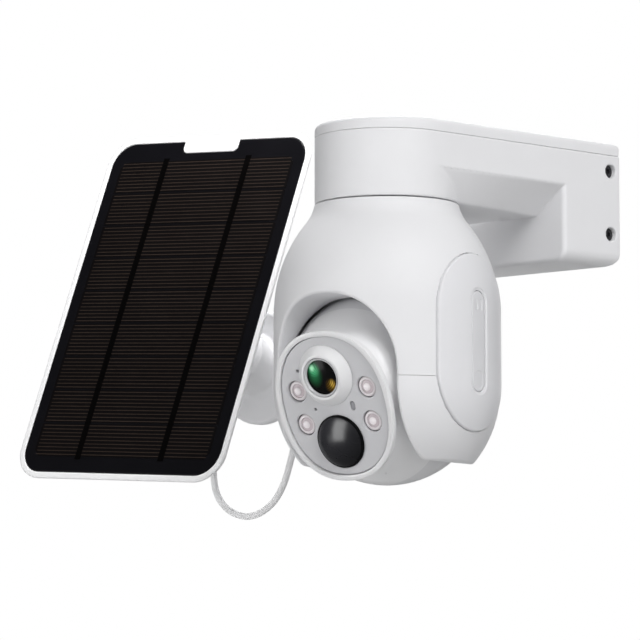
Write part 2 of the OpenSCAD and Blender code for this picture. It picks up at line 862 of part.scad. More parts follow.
module led_lenses() {
    color([0.95, 0.85, 0.88, 0.6]) at_head() for (p = led_spots) translate([p[0], 0, p[1]])
        forward(face_y - plate_t - 1) {
            cylinder(r = led_pocket_r - 0.3, h = plate_t);
            translate([0, 0, plate_t]) intersection() {
                cylinder(r = led_pocket_r - 1.2, h = 2);
                translate([0, 0, -5]) sphere(r = 6.6);
            }
        }
}

module led_emitters() {
    color([0.9, 0.9, 0.7]) at_head() for (p = led_spots) translate([p[0], 0, p[1]]) {
        forward(face_y - 15) cylinder(r = 3.4, h = 15 - plate_t - 1.2);
    }
}

module dome_ring() {
    color([0.08, 0.08, 0.09]) at_head() translate([dome_x, 0, dome_z]) forward(face_y)
        ring(dome_r + 0.8, dome_r - 1, dome_ring_h);
}

module pir_dome() {
    ball = (dome_r * dome_r + dome_rise * dome_rise) / (2 * dome_rise);
    color([0.04, 0.04, 0.05]) at_head() translate([dome_x, 0, dome_z]) {
        forward(face_y + dome_ring_h) difference() {
            intersection() {
                cylinder(r = dome_r, h = 12);
                translate([0, 0, dome_rise - ball]) sphere(r = ball);
            }
            intersection() {
                translate([0, 0, -over]) cylinder(r = dome_r - 2.4, h = 12);
                translate([0, 0, dome_rise - ball]) sphere(r = ball - 1.2);
            }
        }
        forward(face_y - plate_t - 1) ring(dome_r - 1.1, dome_r - 2.4, plate_t + 1 + dome_ring_h);
    }
}

module pir_sensor() {
    color("silver") at_head() translate([dome_x, 0, dome_z]) {
        forward(face_y - 15) cylinder(r = 2, h = 8);
        forward(face_y - 7) cylinder(r = 4.6, h = 4);
    }
}

module light_sensor() {
    color([0.25, 0.25, 0.27]) at_head() translate([light_spot[0], 0, light_spot[1]])
        forward(face_y - 15) linear_extrude(14.6) stadium(1.1, 4);
}

module microphone() {
    color([0.1, 0.1, 0.1]) at_head() {
        translate([mic_spot[0], 0, mic_spot[1]]) forward(face_y - 15) cylinder(r = 2, h = 15 - plate_t - 0.3);
        translate([status_spot[0], 0, status_spot[1]]) forward(face_y - 15)
            cylinder(r = 1.2, h = 15 - plate_t - 0.3);
    }
}

// ---------- solar unit ----------

module solar_base() {
    color([0.93, 0.93, 0.94]) difference() {
        union() {
            translate([base_x, 0, base_z]) rotate([90, 0, 0]) {
                cylinder(r = base_r, h = base_t - 2);
                translate([0, 0, base_t - 2]) cylinder(r1 = base_r, r2 = base_r - 2.5, h = 2);
            }
            intersection() {
                at_solar_arm() {
                    translate([0, 0, -12]) cylinder(r = 15, h = 26);
                    translate([0, 0, 14]) cylinder(r1 = 15, r2 = 12, h = 6);
                }
                translate([base_x - 50, -60, base_z - 50]) cube([100, 60, 100]);
            }
        }
        at_solar_arm() translate([0, 0, 2]) cylinder(r = tube_r, h = 60);
        for (x = [-1, 1], z = [-1, 1]) translate([base_x + x * 20, over, base_z + z * 12])
            rotate([90, 0, 0]) cylinder(r = 2.2, h = 20);
        at_lock_screw() {
            cylinder(r = 1.55, h = 14);
            translate([0, 0, lock_head_z]) cylinder(r = 2.7, h = 10);
        }
    }
}

lock_head_z = 10.4;

// Radial lock screw, down and to the left of the hub
module at_lock_screw() {
    translate([base_x, -base_t - 7, base_z + 3]) rotate([0, -130, 0]) translate([0, 0, 5]) children();
}

module arm_lock_screw() {
    color("silver") at_lock_screw() {
        translate([0, 0, tube_r - 4]) cylinder(r = 1.5, h = lock_head_z + 5 - tube_r);
        translate([0, 0, lock_head_z]) cylinder(r = 2.6, h = 4);
    }
}

module solar_arm() {
    color([0.93, 0.93, 0.94]) {
        at_solar_arm() difference() {
            union() {
                translate([0, 0, 2]) cylinder(r = tube_r, h = arm_len - 18);
                translate([0, 0, arm_len - 16]) cylinder(r1 = tube_r, r2 = 4.2, h = 4);
                translate([0, 0, arm_len - 13]) cylinder(r = 4.2, h = 9);
            }
            translate([0, 0, 2 + arm_len / 3]) cylinder(r = 2.2, h = arm_len - 2);
        }
        at_solar_arm() translate([0, 0, arm_len]) difference() {
            sphere(r = pivot_r);
            translate([0, 0, -20]) cylinder(r = 2.2, h = 40);
        }
    }
}

module cable_gland() {
    color([0.85, 0.85, 0.86]) difference() {
        translate(gland_tip) {
            cylinder(r1 = cable_d / 2 + 0.6, r2 = 3.4, h = 9);
            translate([0, 0, 9]) cylinder(r = 3.8, h = 8);
        }
        at_solar_arm() cylinder(r = tube_r, h = arm_len);
    }
}

module ball_liner() {
    color("ivory") at_panel() translate([0, pivot_back, 0]) rotate([90, 0, 0]) difference() {
        sphere(r = cup_r);
        sphere(r = pivot_r + fit);
        translate([0, 0, -30 - 3.2]) cylinder(r = 20, h = 30);
        cylinder(r = 3, h = 20);
    }
}

module pivot_socket() {
    back = panel_t + 12.5;
    color([0.9, 0.9, 0.91]) at_panel() translate([0, pivot_back, 0]) rotate([-90, 0, 0])
        rotate_extrude() difference() {
            translate([3, back - pivot_back]) square([10, 3.5 + pivot_back - back]);
            circle(r = cup_r + fit);
        }
}

module clamp_ring() {
    from = pivot_back - 4;
    color([0.88, 0.88, 0.89]) at_panel() translate([0, from, 0]) rotate([-90, 0, 0]) difference() {
        cylinder(r = 16, h = 9.5);
        translate([0, 0, -over]) cylinder(r = 13.02, h = 7.5 + over + 0.02);
        translate([0, 0, 5]) cylinder(r = 10, h = 10);
        for (i = [0 : 11]) rotate(30 * i) translate([16.6, 0, -over]) cylinder(r = 1.1, h = 12);
    }
}

module inset_panel(inset) {
    rounded(panel_w - 2 * inset, panel_h - 2 * inset, panel_corner - inset);
}

module panel_frame() {
    color([0.97, 0.97, 0.97]) at_panel() rotate([-90, 0, 0]) difference() {
        union() {
            linear_extrude(edge_t) rounded(panel_w, panel_h, panel_corner);
            linear_extrude(panel_t) inset_panel(skirt);
        }
        translate([0, 0, -over]) linear_extrude(over + sheet_t + 0.2) difference() {
            inset_panel(frame_w);
            translate([0, -panel_h / 2 + 5]) rounded(37, 10, 3);
        }
        translate([0, 0, sheet_t + 1.8]) linear_extrude(panel_t)
            inset_panel(skirt + 2.5);
        translate([0, 0, -over]) cylinder(r = 3, h = 10);
    }
}

module panel_back() {
    color([0.93, 0.93, 0.94]) at_panel() translate([0, panel_t - 2.2, 0]) rotate([-90, 0, 0]) difference() {
        union() {
            linear_extrude(2.2) inset_panel(skirt + 2.7);
            translate([0, 0, 2.2]) linear_extrude(1.5) inset_panel(skirt + 5.5);
        }
        for (x = [-1, 1]) translate([x * 20, 0, -over]) cylinder(r = 1.6, h = 8);
        translate([0, 0, -over]) cylinder(r = 3, h = 10);
    }
}

module junction_box() {
    color([0.9, 0.9, 0.91]) at_panel() translate([0, panel_t + 1.5, 0]) rotate([-90, 0, 0]) difference() {
        union() {
            linear_extrude(9) rounded(64, 46, 6);
            translate([0, 0, 9]) linear_extrude(2) rounded(60, 42, 5);
        }
        translate([0, 0, -over]) cylinder(r = 3, h = 20);
        translate([0, 0, -over]) linear_extrude(8) difference() {
            rounded(58, 40, 4);
            circle(r = 8);
        }
        translate([0, 0, pivot_back - panel_t - 1.5]) sphere(r = cup_r + gap);
    }
}

module backing_sheet() {
    color([0.08, 0.08, 0.09]) at_panel() translate([0, 0.2, 0]) rotate([-90, 0, 0])
        linear_extrude(sheet_t) difference() {
            inset_panel(frame_w + 0.15);
            translate([0, -panel_h / 2 + 5]) rounded(37.3, 10.3, 3.15);
        }
}

module solar_cells() {
    pitch = (cell_top - cell_bottom) / cell_rows;
    color([0.15, 0.14, 0.15]) at_panel() for (i = [0 : cell_rows - 1])
        translate([-cell_w / 2, 0, cell_bottom + i * pitch + 0.4]) cube([cell_w, 0.2, pitch - 0.8]);
}

// ---------- cable ----------

function route_length(i = 1) = i >= len(route) ? 0 : norm(route[i] - route[i - 1]) + route_length(i + 1);

function unit(v) = v / norm(v);

function route_dir(i) = i == 0 ? [0, 0, -1]
    : i == len(route) - 1 ? [1, 0, 0]
    : unit(route[i + 1] - route[i - 1]);

// Smooth curve through the route points: two rings between each pair of points
steps = 3;
function hermite(p0, p1, d0, d1, t) =
    let (k = norm(p1 - p0), t2 = t * t, t3 = t2 * t)
    (2 * t3 - 3 * t2 + 1) * p0 + (t3 - 2 * t2 + t) * k * d0 + (-2 * t3 + 3 * t2) * p1 + (t3 - t2) * k * d1;

path = concat([for (i = [0 : len(route) - 2], j = [0 : steps - 1])
    hermite(route[i], route[i + 1], route_dir(i), route_dir(i + 1), j / steps)], [route[len(route) - 1]]);

function path_dir(i) = i == 0 ? route_dir(0)
    : i == len(path) - 1 ? route_dir(len(route) - 1)
    : unit(path[i + 1] - path[i - 1]);

// Ring of points round path point i; the side vector stays nearly along Y, because the route bends mostly in XZ
sides = 8;
function ring_points(i) =
    let (d = path_dir(i), u = unit([0, 1, 0] - d[1] * d), v = cross(d, u))
    [for (k = [0 : sides - 1]) path[i] + cable_d / 2 * (cos(360 * k / sides) * u + sin(360 * k / sides) * v)];

module solar_cable() {
    n = len(path);
    points = [for (i = [0 : n - 1]) each ring_points(i)];
    walls = [for (i = [0 : n - 2], k = [0 : sides - 1])
        [i * sides + k, i * sides + (k + 1) % sides, (i + 1) * sides + (k + 1) % sides, (i + 1) * sides + k]];
    start = [for (k = [sides - 1 : -1 : 0]) k];
    end = [for (k = [0 : sides - 1]) (n - 1) * sides + k];
    color([0.9, 0.9, 0.9]) polyhedron(points = points, faces = concat([start, end], walls), convexity = 6);
}

// ---------- drawing ----------

bracket_arm();
bracket_lid();
wall_plate();
side_screws();
pan_bushing();
pan_motor();
pan_motor_screws();
pan_pinion();
pan_spindle();
pan_gear();
spindle_clip();
body_upper();
body_lower();
body_screws();
side_cap_left();
side_cap_right();
battery_cradle();
battery_cells();
main_board();
speaker();
tilt_bushings();
tilt_motor();
tilt_pinion();
port_tray();
port_cover();
reset_button();
head_shell();
front_bezel();
head_screws();
tilt_shafts();
tilt_gear();
face_plate();
lens_collar();
lens_ring();
lens_glass();
camera_module();
sensor_board();
led_lenses();
led_emitters();
dome_ring();
pir_dome();
pir_sensor();
light_sensor();
microphone();
solar_base();
solar_arm();
arm_lock_screw();
cable_gland();
ball_liner();
panel_back();
junction_box();
pivot_socket();
clamp_ring();
panel_frame();
backing_sheet();
solar_cells();
solar_cable();
cable_plug();
power_socket();
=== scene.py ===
import json
import math

import bmesh
import bpy
import numpy as np
import openvdb
from mathutils import Matrix, Vector


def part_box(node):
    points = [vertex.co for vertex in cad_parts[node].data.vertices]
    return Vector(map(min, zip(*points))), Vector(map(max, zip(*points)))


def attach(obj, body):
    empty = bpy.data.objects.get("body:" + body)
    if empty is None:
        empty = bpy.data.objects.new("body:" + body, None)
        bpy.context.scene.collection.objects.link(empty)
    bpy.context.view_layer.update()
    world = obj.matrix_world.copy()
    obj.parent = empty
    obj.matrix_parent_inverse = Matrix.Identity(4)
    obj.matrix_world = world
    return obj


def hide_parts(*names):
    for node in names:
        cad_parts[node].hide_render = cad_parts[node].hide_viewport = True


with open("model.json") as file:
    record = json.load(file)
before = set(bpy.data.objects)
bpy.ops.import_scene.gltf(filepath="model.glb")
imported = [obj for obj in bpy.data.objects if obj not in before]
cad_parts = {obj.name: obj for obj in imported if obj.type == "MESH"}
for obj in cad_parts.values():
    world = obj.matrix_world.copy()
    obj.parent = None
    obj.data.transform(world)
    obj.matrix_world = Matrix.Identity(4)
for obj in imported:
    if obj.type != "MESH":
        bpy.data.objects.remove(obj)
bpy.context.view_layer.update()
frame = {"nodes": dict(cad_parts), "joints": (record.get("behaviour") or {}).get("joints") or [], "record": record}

# Looks of a solar-powered pan and tilt camera. Shapes are worked out in millimetres and made in metres.
# Directions are those of the frame: X to the right facing the wall, Y into the wall, Z up.
MM = 0.001

# ---------- places, from the frame ----------

joints = {joint["name"]: joint for joint in frame["joints"]}


def low(node):
    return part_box(node)[0] / MM


def high(node):
    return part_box(node)[1] / MM


def pivot(joint):
    return Vector(joints[joint]["pos_m"]) / MM


def turned(axis):
    """Angle about Z that turns X onto a level axis."""
    return math.atan2(axis[1], axis[0])


def spin(degrees, axis):
    return Matrix.Rotation(math.radians(degrees), 4, axis)


WORLD = Matrix.Identity(4)
HEAD_DROP = 21
PANEL_LEAN = 20.25
PANEL_ROLL = 3.64
PANEL_DEPTH = 26
ARM_RISE = 20
AT_BODY = Matrix.Translation(pivot("tilt")) @ Matrix.Rotation(turned(joints["tilt"]["axis"]), 4, "Z")
AT_HEAD = AT_BODY @ spin(HEAD_DROP, "X")
AT_PANEL = (
    Matrix.Translation(pivot("solar_tilt"))
    @ Matrix.Rotation(turned(joints["solar_tilt"]["axis"]), 4, "Z")
    @ spin(-PANEL_LEAN, "X")
    @ spin(PANEL_ROLL, "Y")
    @ Matrix.Translation((0, -PANEL_DEPTH, 0))
)
# turns a turned piece's axis from Z to the front
FORWARD = spin(90, "X")

# ---------- meshes ----------


SHARP = math.radians(35)


def finish_mesh(piece):
    """Smooth shading, with sharper edges kept crisp."""
    mesh = piece.data
    mesh.validate()
    mesh.polygons.foreach_set("use_smooth", [True] * len(mesh.polygons))
    mesh.set_sharp_from_angle(angle=SHARP)
    return piece


def added(name, mesh):
    """A mesh as an object of the scene."""
    piece = bpy.data.objects.new(name, mesh)
    bpy.context.scene.collection.objects.link(piece)
    return piece


def worked(name, work):
    """A finished piece from a bmesh, which is used up."""
    mesh = bpy.data.meshes.new(name)
    work.to_mesh(mesh)
    work.free()
    return finish_mesh(added(name, mesh))


def new_piece(name, points, faces, place=WORLD):
    """A mesh object at the origin: points in millimetres, in the frame called place."""
    points = np.asarray(points, float).reshape(-1, 3)
    matrix = np.array(place)
    points = (points @ matrix[:3, :3].T + matrix[:3, 3]) * MM
    mesh = bpy.data.meshes.new(name)
    mesh.from_pydata(points.tolist(), [], faces)
    piece = added(name, mesh)
    outward(piece)
    return finish_mesh(piece)


def outward(piece):
    """Turns the faces to look outward."""
    work = bmesh.new()
    work.from_mesh(piece.data)
    if work.calc_volume(signed=True) < 0:
        bmesh.ops.reverse_faces(work, faces=work.faces)
    work.to_mesh(piece.data)
    work.free()


def joined(name, pieces):
    """Several pieces as one object."""
    work = bmesh.new()
    for piece in pieces:
        work.from_mesh(piece.data)
        bpy.data.objects.remove(piece)
    return worked(name, work)


PROFILE_STEPS = 5


def rounded_profile(corners, radius):
    """An open line of (radius, height) corners, with each inner corner rounded."""
    line = [Vector(corners[0])]
    for before, here, after in zip(corners, corners[1:], corners[2:]):
        here = Vector(here)
        back = Vector(before) - here
        ahead = Vector(after) - here
        reach = min(radius, back.length * 0.45, ahead.length * 0.45)
        start = here + back.normalized() * reach
        end = here + ahead.normalized() * reach
        for step in range(PROFILE_STEPS + 1):
            t = step / PROFILE_STEPS
            line.append((1 - t) ** 2 * start + 2 * t * (1 - t) * here + t * t * end)
    line.append(Vector(corners[-1]))
    return line


def lathe(name, corners, place=WORLD, radius=0.4, steps=72, closed=False):
    """Turns a profile about Z. A closed profile makes a ring; an open one starts and ends on the axis."""
    profile = rounded_profile(corners + (corners[:2] if closed else []), radius)
    if closed:
        profile = profile[1:-1]
    rings = len(profile)
    points = []
    for around in range(steps):
        angle = 2 * math.pi * around / steps
        for distance, height in profile:
            points.append((distance * math.cos(angle), distance * math.sin(angle), height))
    faces = []
    for around in range(steps):
        here, there = around * rings, (around + 1) % steps * rings
        for ring in range(rings if closed else rings - 1):
            other = (ring + 1) % rings
            faces.append((here + ring, there + ring, there + other, here + other))
    piece = new_piece(name, points, faces, place)
    work = bmesh.new()
    work.from_mesh(piece.data)
    bmesh.ops.remove_doubles(work, verts=work.verts, dist=1e-7)
    bmesh.ops.recalc_face_normals(work, faces=work.faces)
    work.to_mesh(piece.data)
    work.free()
    return finish_mesh(piece)


def slab(name, size, centre, place=WORLD, round_edge=0.2):
    """A box with small rounded edges."""
    work = bmesh.new()
    bmesh.ops.create_cube(work, size=1)
    bmesh.ops.scale(work, vec=size, verts=work.verts)
    if round_edge:
        bmesh.ops.bevel(work, geom=work.edges, offset=round_edge, segments=2, profile=0.5, affect="EDGES")
    bmesh.ops.translate(work, vec=centre, verts=work.verts)
    bmesh.ops.transform(work, matrix=Matrix.Scale(MM, 4) @ place, verts=work.verts)
    return worked(name, work)


# ---------- rounded solids from distance fields ----------
# A field takes X, Y and Z in millimetres and gives the distance to the surface, below zero inside.


def both(a, b, radius=0.0):
    """Inside a and inside b, with the edge between them rounded."""
    if radius == 0:
        return np.maximum(a, b)
    return np.minimum(-radius, np.maximum(a, b)) + np.hypot(
        np.maximum(radius + a, 0), np.maximum(radius + b, 0)
    )


def either(a, b, radius=0.0):
    """Inside a or inside b, with the corner between them filled."""
    return -both(-a, -b, radius)


def between(value, start, end):
    return np.maximum(start - value, value - end)


def box_field(x, y, z, start, end):
    return np.maximum(np.maximum(between(x, start[0], end[0]), between(y, start[1], end[1])),
                      between(z, start[2], end[2]))


class Outline:
    """Distance to a closed outline, looked up in a fine grid."""

    def __init__(self, points, step=0.4, margin=14):
        points = np.array(points, float)
        points = points[np.hypot(*(points - np.roll(points, 1, 0)).T) > 1e-6]
        self.step = step
        self.start = points.min(0) - margin
        counts = np.ceil((points.max(0) + margin - self.start) / step).astype(int) + 1
        u = (self.start[0] + step * np.arange(counts[0]))[:, None]
        v = (self.start[1] + step * np.arange(counts[1]))[None, :]
        nearest = np.full(counts, np.inf)
        inside = np.zeros(counts, bool)
        for (au, av), (bu, bv) in zip(points, np.roll(points, -1, 0)):
            du, dv = bu - au, bv - av
            along = np.clip(((u - au) * du + (v - av) * dv) / (du * du + dv * dv), 0, 1)
            nearest = np.minimum(nearest, (u - au - along * du) ** 2 + (v - av - along * dv) ** 2)
            if av != bv:
                crossing = (av > v) != (bv > v)
                inside ^= crossing & (u < au + (v - av) / dv * du)
        self.table = np.where(inside, -1, 1) * np.sqrt(nearest)

    def __call__(self, u, v):
        u = np.clip((u - self.start[0]) / self.step, 0, self.table.shape[0] - 1.001)
        v = np.clip((v - self.start[1]) / self.step, 0, self.table.shape[1] - 1.001)
        i, j = u.astype(np.int32), v.astype(np.int32)
        a, b = u - i, v - j
        table = self.table
        return (table[i, j] * (1 - a) + table[i + 1, j] * a) * (1 - b) + (
            table[i, j + 1] * (1 - a) + table[i + 1, j + 1] * a
        ) * b


def skin(name, field, start, end, cell, place=WORLD):
    """The surface of a field as a mesh, polished onto the true surface."""
    start = np.array(start, float)
    counts = np.ceil((np.array(end) - start) / cell).astype(int) + 1
    axes = [start[i] + cell * np.arange(counts[i]) for i in range(3)]
    x, y, z = np.meshgrid(*axes, indexing="ij", sparse=True)
    reach = 3 * cell
    distance = np.broadcast_to(np.clip(field(x, y, z), -reach, reach), counts).astype(np.float32)
    grid = openvdb.FloatGrid(reach)
    grid.copyFromArray(np.ascontiguousarray(distance))
    points, triangles, quads = grid.convertToPolygons(isovalue=0, adaptivity=0)
    points = points * cell + start
    for _ in range(3):
        here = points.T
        value = field(*here)
        slope = np.empty_like(here)
        for axis in range(3):
            nudge = np.zeros((3, 1))
            nudge[axis] = 0.1 * cell
            slope[axis] = (field(*(here + nudge)) - field(*(here - nudge))) / (0.2 * cell)
        size = np.maximum((slope ** 2).sum(0), 0.3)
        points = points - np.clip(value / size, -0.35 * cell, 0.35 * cell)[:, None] * slope.T
    faces = quads.tolist() + triangles.tolist()
    return new_piece(name, points, faces, place)


def halved(piece, name, point, normal):
    """What lies behind a plane, as a new piece with its cut closed."""
    work = bmesh.new()
    work.from_mesh(piece.data)
    result = bmesh.ops.bisect_plane(
        work,
        geom=work.verts[:] + work.edges[:] + work.faces[:],
        dist=1e-7,
        plane_co=point * MM,
        plane_no=normal,
        clear_outer=True,
    )
    rim = [item for item in result["geom_cut"] if isinstance(item, bmesh.types.BMEdge)]
    bmesh.ops.triangle_fill(work, edges=rim, use_beauty=True, normal=normal)
    return worked(name, work)


# ---------- materials ----------

materials = {}


def colour(value):
    return (value[0], value[1], value[2], 1)


def material(name, base, rough=0.5, metal=0.0, specular=0.5, coat=0.0, grain=None, grain_depth=0.0,
             mottle=0.02, rough_spread=0.06, emission=0.0):
    """A surface with a fine moulded grain and slight changes of colour and gloss.

    grain and grain_depth are the size and the depth of the grain in millimetres. mottle is how much
    the colour changes, and rough_spread is how much the gloss does."""
    made = bpy.data.materials.new(name)
    made.use_nodes = True
    nodes, links = made.node_tree.nodes, made.node_tree.links
    shader = nodes["Principled BSDF"]
    shader.inputs["Metallic"].default_value = metal
    shader.inputs["Specular IOR Level"].default_value = specular
    shader.inputs["Coat Weight"].default_value = coat
    shader.inputs["Coat Roughness"].default_value = 0.1
    shader.inputs["IOR"].default_value = 1.5
    if emission:
        shader.inputs["Emission Color"].default_value = colour(base)
        shader.inputs["Emission Strength"].default_value = emission
    where = nodes.new("ShaderNodeTexCoord")
    patch = nodes.new("ShaderNodeTexNoise")
    patch.inputs["Scale"].default_value = 45
    patch.inputs["Detail"].default_value = 4
    links.new(where.outputs["Object"], patch.inputs["Vector"])
    tint = nodes.new("ShaderNodeMix")
    tint.data_type = "RGBA"
    tint.inputs["A"].default_value = colour([c * (1 - mottle) for c in base])
    tint.inputs["B"].default_value = colour([min(1, c * (1 + mottle)) for c in base])
    links.new(patch.outputs["Fac"], tint.inputs["Factor"])
    links.new(tint.outputs["Result"], shader.inputs["Base Color"])
    gloss = nodes.new("ShaderNodeMapRange")
    gloss.inputs["To Min"].default_value = max(0.02, rough - rough_spread)
    gloss.inputs["To Max"].default_value = min(1, rough + rough_spread)
    links.new(patch.outputs["Fac"], gloss.inputs["Value"])
    links.new(gloss.outputs["Result"], shader.inputs["Roughness"])
    if grain:
        fine = nodes.new("ShaderNodeTexNoise")
        fine.inputs["Scale"].default_value = 1 / (grain * MM)
        fine.inputs["Detail"].default_value = 2
        links.new(where.outputs["Object"], fine.inputs["Vector"])
        bump = nodes.new("ShaderNodeBump")
        bump.inputs["Distance"].default_value = grain_depth * MM
        bump.inputs["Strength"].default_value = 1
        links.new(fine.outputs["Fac"], bump.inputs["Height"])
        links.new(bump.outputs["Normal"], shader.inputs["Normal"])
    materials[name] = made


material("white_plastic", (0.80, 0.80, 0.815), rough=0.50, specular=0.35, grain=0.8, grain_depth=0.012)
material("cap_plastic", (0.775, 0.775, 0.795), rough=0.42, specular=0.38, grain=0.8, grain_depth=0.008)
material("head_plastic", (0.71, 0.71, 0.725), rough=0.36, specular=0.42, grain=0.8, grain_depth=0.004)
material("plate_grey", (0.61, 0.61, 0.63), rough=0.34, specular=0.45, grain=0.5, grain_depth=0.006)
material("black_gloss", (0.002, 0.002, 0.0023), rough=0.28, specular=0.06, grain=3, grain_depth=0.002,
         rough_spread=0.03)
# the same plastic as head_plastic, made lighter: painted light on the lit rim, neck and lens collar
material("rim_white", (0.81, 0.81, 0.82), rough=0.30, specular=0.42, grain=0.8, grain_depth=0.004)
material("lens_metal", (0.62, 0.62, 0.64), rough=0.28, specular=0.5, grain=0.6, grain_depth=0.002)
material("lamp_clear", (0.74, 0.66, 0.69), rough=0.25, specular=0.4, grain=1, grain_depth=0.002)
# the lamp chips glow faintly: a painted bright spot in each lamp
material("lamp_emitter", (0.93, 0.88, 0.90), rough=0.4, emission=0.06, grain=0.5, grain_depth=0.002)
material("lamp_ring", (0.86, 0.81, 0.83), rough=0.3, grain=0.5, grain_depth=0.005)
material("sensor_window", (0.30, 0.30, 0.32), rough=0.25, grain=0.5, grain_depth=0.004)
material("black_screw", (0.045, 0.045, 0.05), rough=0.38, metal=0.6, grain=0.3, grain_depth=0.01)
material("zinc_steel", (0.62, 0.63, 0.65), rough=0.32, metal=1.0, grain=0.4, grain_depth=0.006)
material("grey_nylon", (0.10, 0.10, 0.11), rough=0.5, grain=0.5, grain_depth=0.01)
material("ivory_nylon", (0.82, 0.80, 0.72), rough=0.4, grain=0.5, grain_depth=0.006)
material("black_plastic", (0.02, 0.02, 0.022), rough=0.45, grain=0.5, grain_depth=0.01)
material("cell_wrap", (0.05, 0.14, 0.35), rough=0.3, coat=0.3, grain=1, grain_depth=0.004)
material("circuit_board", (0.02, 0.12, 0.045), rough=0.35, coat=0.4, grain=0.7, grain_depth=0.01)
material("port_rubber", (0.70, 0.70, 0.72), rough=0.55, specular=0.3, grain=0.5, grain_depth=0.008)
material("panel_white", (0.95, 0.95, 0.955), rough=0.35, specular=0.4, grain=0.8, grain_depth=0.004)
material("panel_rear", (0.80, 0.80, 0.815), rough=0.55, specular=0.35, grain=0.9, grain_depth=0.02)
material("solar_black", (0.004, 0.0038, 0.0052), rough=0.34, specular=0.20, grain=0.6, grain_depth=0.004,
         mottle=0.15)
material("solar_cell", (0.0035, 0.0028, 0.0030), rough=0.40, specular=0.12, grain=0.5, grain_depth=0.004,
         mottle=0.12)
material("cell_finger", (0.034, 0.024, 0.019), rough=0.42, specular=0.2, grain=0.3, grain_depth=0.002,
         mottle=0.2)
material("bus_ribbon", (0.0012, 0.001, 0.001), rough=0.35, specular=0.08, grain=0.3, grain_depth=0.002)
material("cable_white", (0.95, 0.95, 0.955), rough=0.48, specular=0.35)


def dress(piece, name):
    """Gives a piece one of the materials."""
    piece.data.materials.clear()
    piece.data.materials.append(materials[name])
    return piece


def stand_in(piece, look, body, *nodes, slot=None):
    """A modelled piece that takes the place of CAD nodes."""
    dress(piece, look)
    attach(piece, body)
    if nodes:
        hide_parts(*nodes)
    return piece


# The CAD nodes that stay show the record's slots, in the materials above
for part in frame["record"]["subparts"]:
    look = part["material_slot"]
    dress(frame["nodes"][part["node"]], look if look in materials else "black_plastic")

# ---------- cable ----------

CABLE_WIDE = 3.5
ROUTE = [
    (-187, -40, -73), (-187, -40.3, -88), (-187, -40.6, -104),
    (-187, -40.8, -118), (-186.6, -41, -129), (-185, -40.5, -137), (-180.5, -40, -143.5),
    (-174.5, -39, -147.8), (-167, -38, -149.9), (-160.5, -37, -149.4), (-154, -36, -146.6),
    (-148, -35, -141.6), (-143, -34, -133.5), (-139.6, -33, -123), (-137, -32, -112),
    (-134.5, -31, -98), (-131.5, -29, -82), (-127.5, -27, -66), (-122, -24, -50),
    (-115, -21, -36), (-106.5, -18, -24), (-97, -16, -16), (-88, -15, -12.5), (-80, -15, -12),
]


ROUTE_STEPS = 8


def smooth_route(corners):
    """Points along a smooth curve through every corner, straight out of each end."""
    corners = [Vector(corner) for corner in corners]
    last = len(corners) - 1
    ways = [Vector((0, 0, -1))]
    ways += [(corners[i + 1] - corners[i - 1]).normalized() for i in range(1, last)]
    ways.append(Vector((1, 0, 0)))
    line = []
    for i in range(last):
        reach = (corners[i + 1] - corners[i]).length
        for step in range(ROUTE_STEPS):
            t = step / ROUTE_STEPS
            line.append(
                (2 * t ** 3 - 3 * t ** 2 + 1) * corners[i]
                + (t ** 3 - 2 * t ** 2 + t) * reach * ways[i]
                + (3 * t ** 2 - 2 * t ** 3) * corners[i + 1]
                + (t ** 3 - t ** 2) * reach * ways[i + 1]
            )
    return line + [corners[last]]


def tube(name, line, radius, sides=48):
    """A round tube along a line, with closed ends."""
    points, faces = [], []
    side = Vector((0, 1, 0))
    for i, point in enumerate(line):
        ahead = (line[min(i + 1, len(line) - 1)] - line[max(i - 1, 0)]).normalized()
        side = (side - side.dot(ahead) * ahead).normalized()
        other = ahead.cross(side)
        for k in range(sides):
            angle = 2 * math.pi * k / sides
            points.append(point + radius * (math.cos(angle) * side + math.sin(angle) * other))
    for i in range(len(line) - 1):
        for k in range(sides):
            a, b = i * sides + k, i * sides + (k + 1) % sides
            faces.append((a, b, b + sides, a + sides))
    faces.append(list(range(sides))[::-1])
    faces.append([(len(line) - 1) * sides + k for k in range(sides)])
    return new_piece(name, points, faces)


cable_line = smooth_route(ROUTE)
cable = stand_in(tube("cable", cable_line, CABLE_WIDE / 2), "cable_white", "bracket", "solar_cable")

PLUG_TIP = Vector(ROUTE[-1])
PLUG_FACE = low("power_socket").x
plug_place = Matrix.Translation(PLUG_TIP) @ spin(90, "Y")
plug_long = PLUG_FACE - PLUG_TIP.x
plug_back = plug_long - 14
plug = lathe("cable_plug_body", [
    (0, 0), (2.25, 0), (3.6, plug_back), (5, plug_back), (5, plug_long), (3.15, plug_long),
    (3.15, plug_long + 6), (1.8, plug_long + 6), (1.8, plug_long - 1), (0, plug_long - 1)],
    plug_place, radius=0.7)
stand_in(plug, "cable_white", "bracket", "cable_plug")

# Strain relief under the solar arm, with grooves round its taper
gland_low = low("cable_gland").z
gland_place = Matrix.Translation((ROUTE[0][0], ROUTE[0][1], gland_low))
gland_ribs = [(0, 0), (2.3, 0)]
for rib in range(4):
    start = 0.9 + rib * 2
    wide = 2.45 + 0.24 * rib
    gland_ribs += [(wide, start), (wide - 0.45, start + 0.3), (wide - 0.4, start + 0.9),
                   (wide + 0.1, start + 1.1)]
gland_ribs += [(3.4, 9), (3.8, 9), (3.8, 14.5), (0, 14.5)]
gland = lathe("strain_relief", gland_ribs, gland_place, radius=0.25)
stand_in(gland, "cable_white", "bracket", "cable_gland")

# ---------- camera ----------

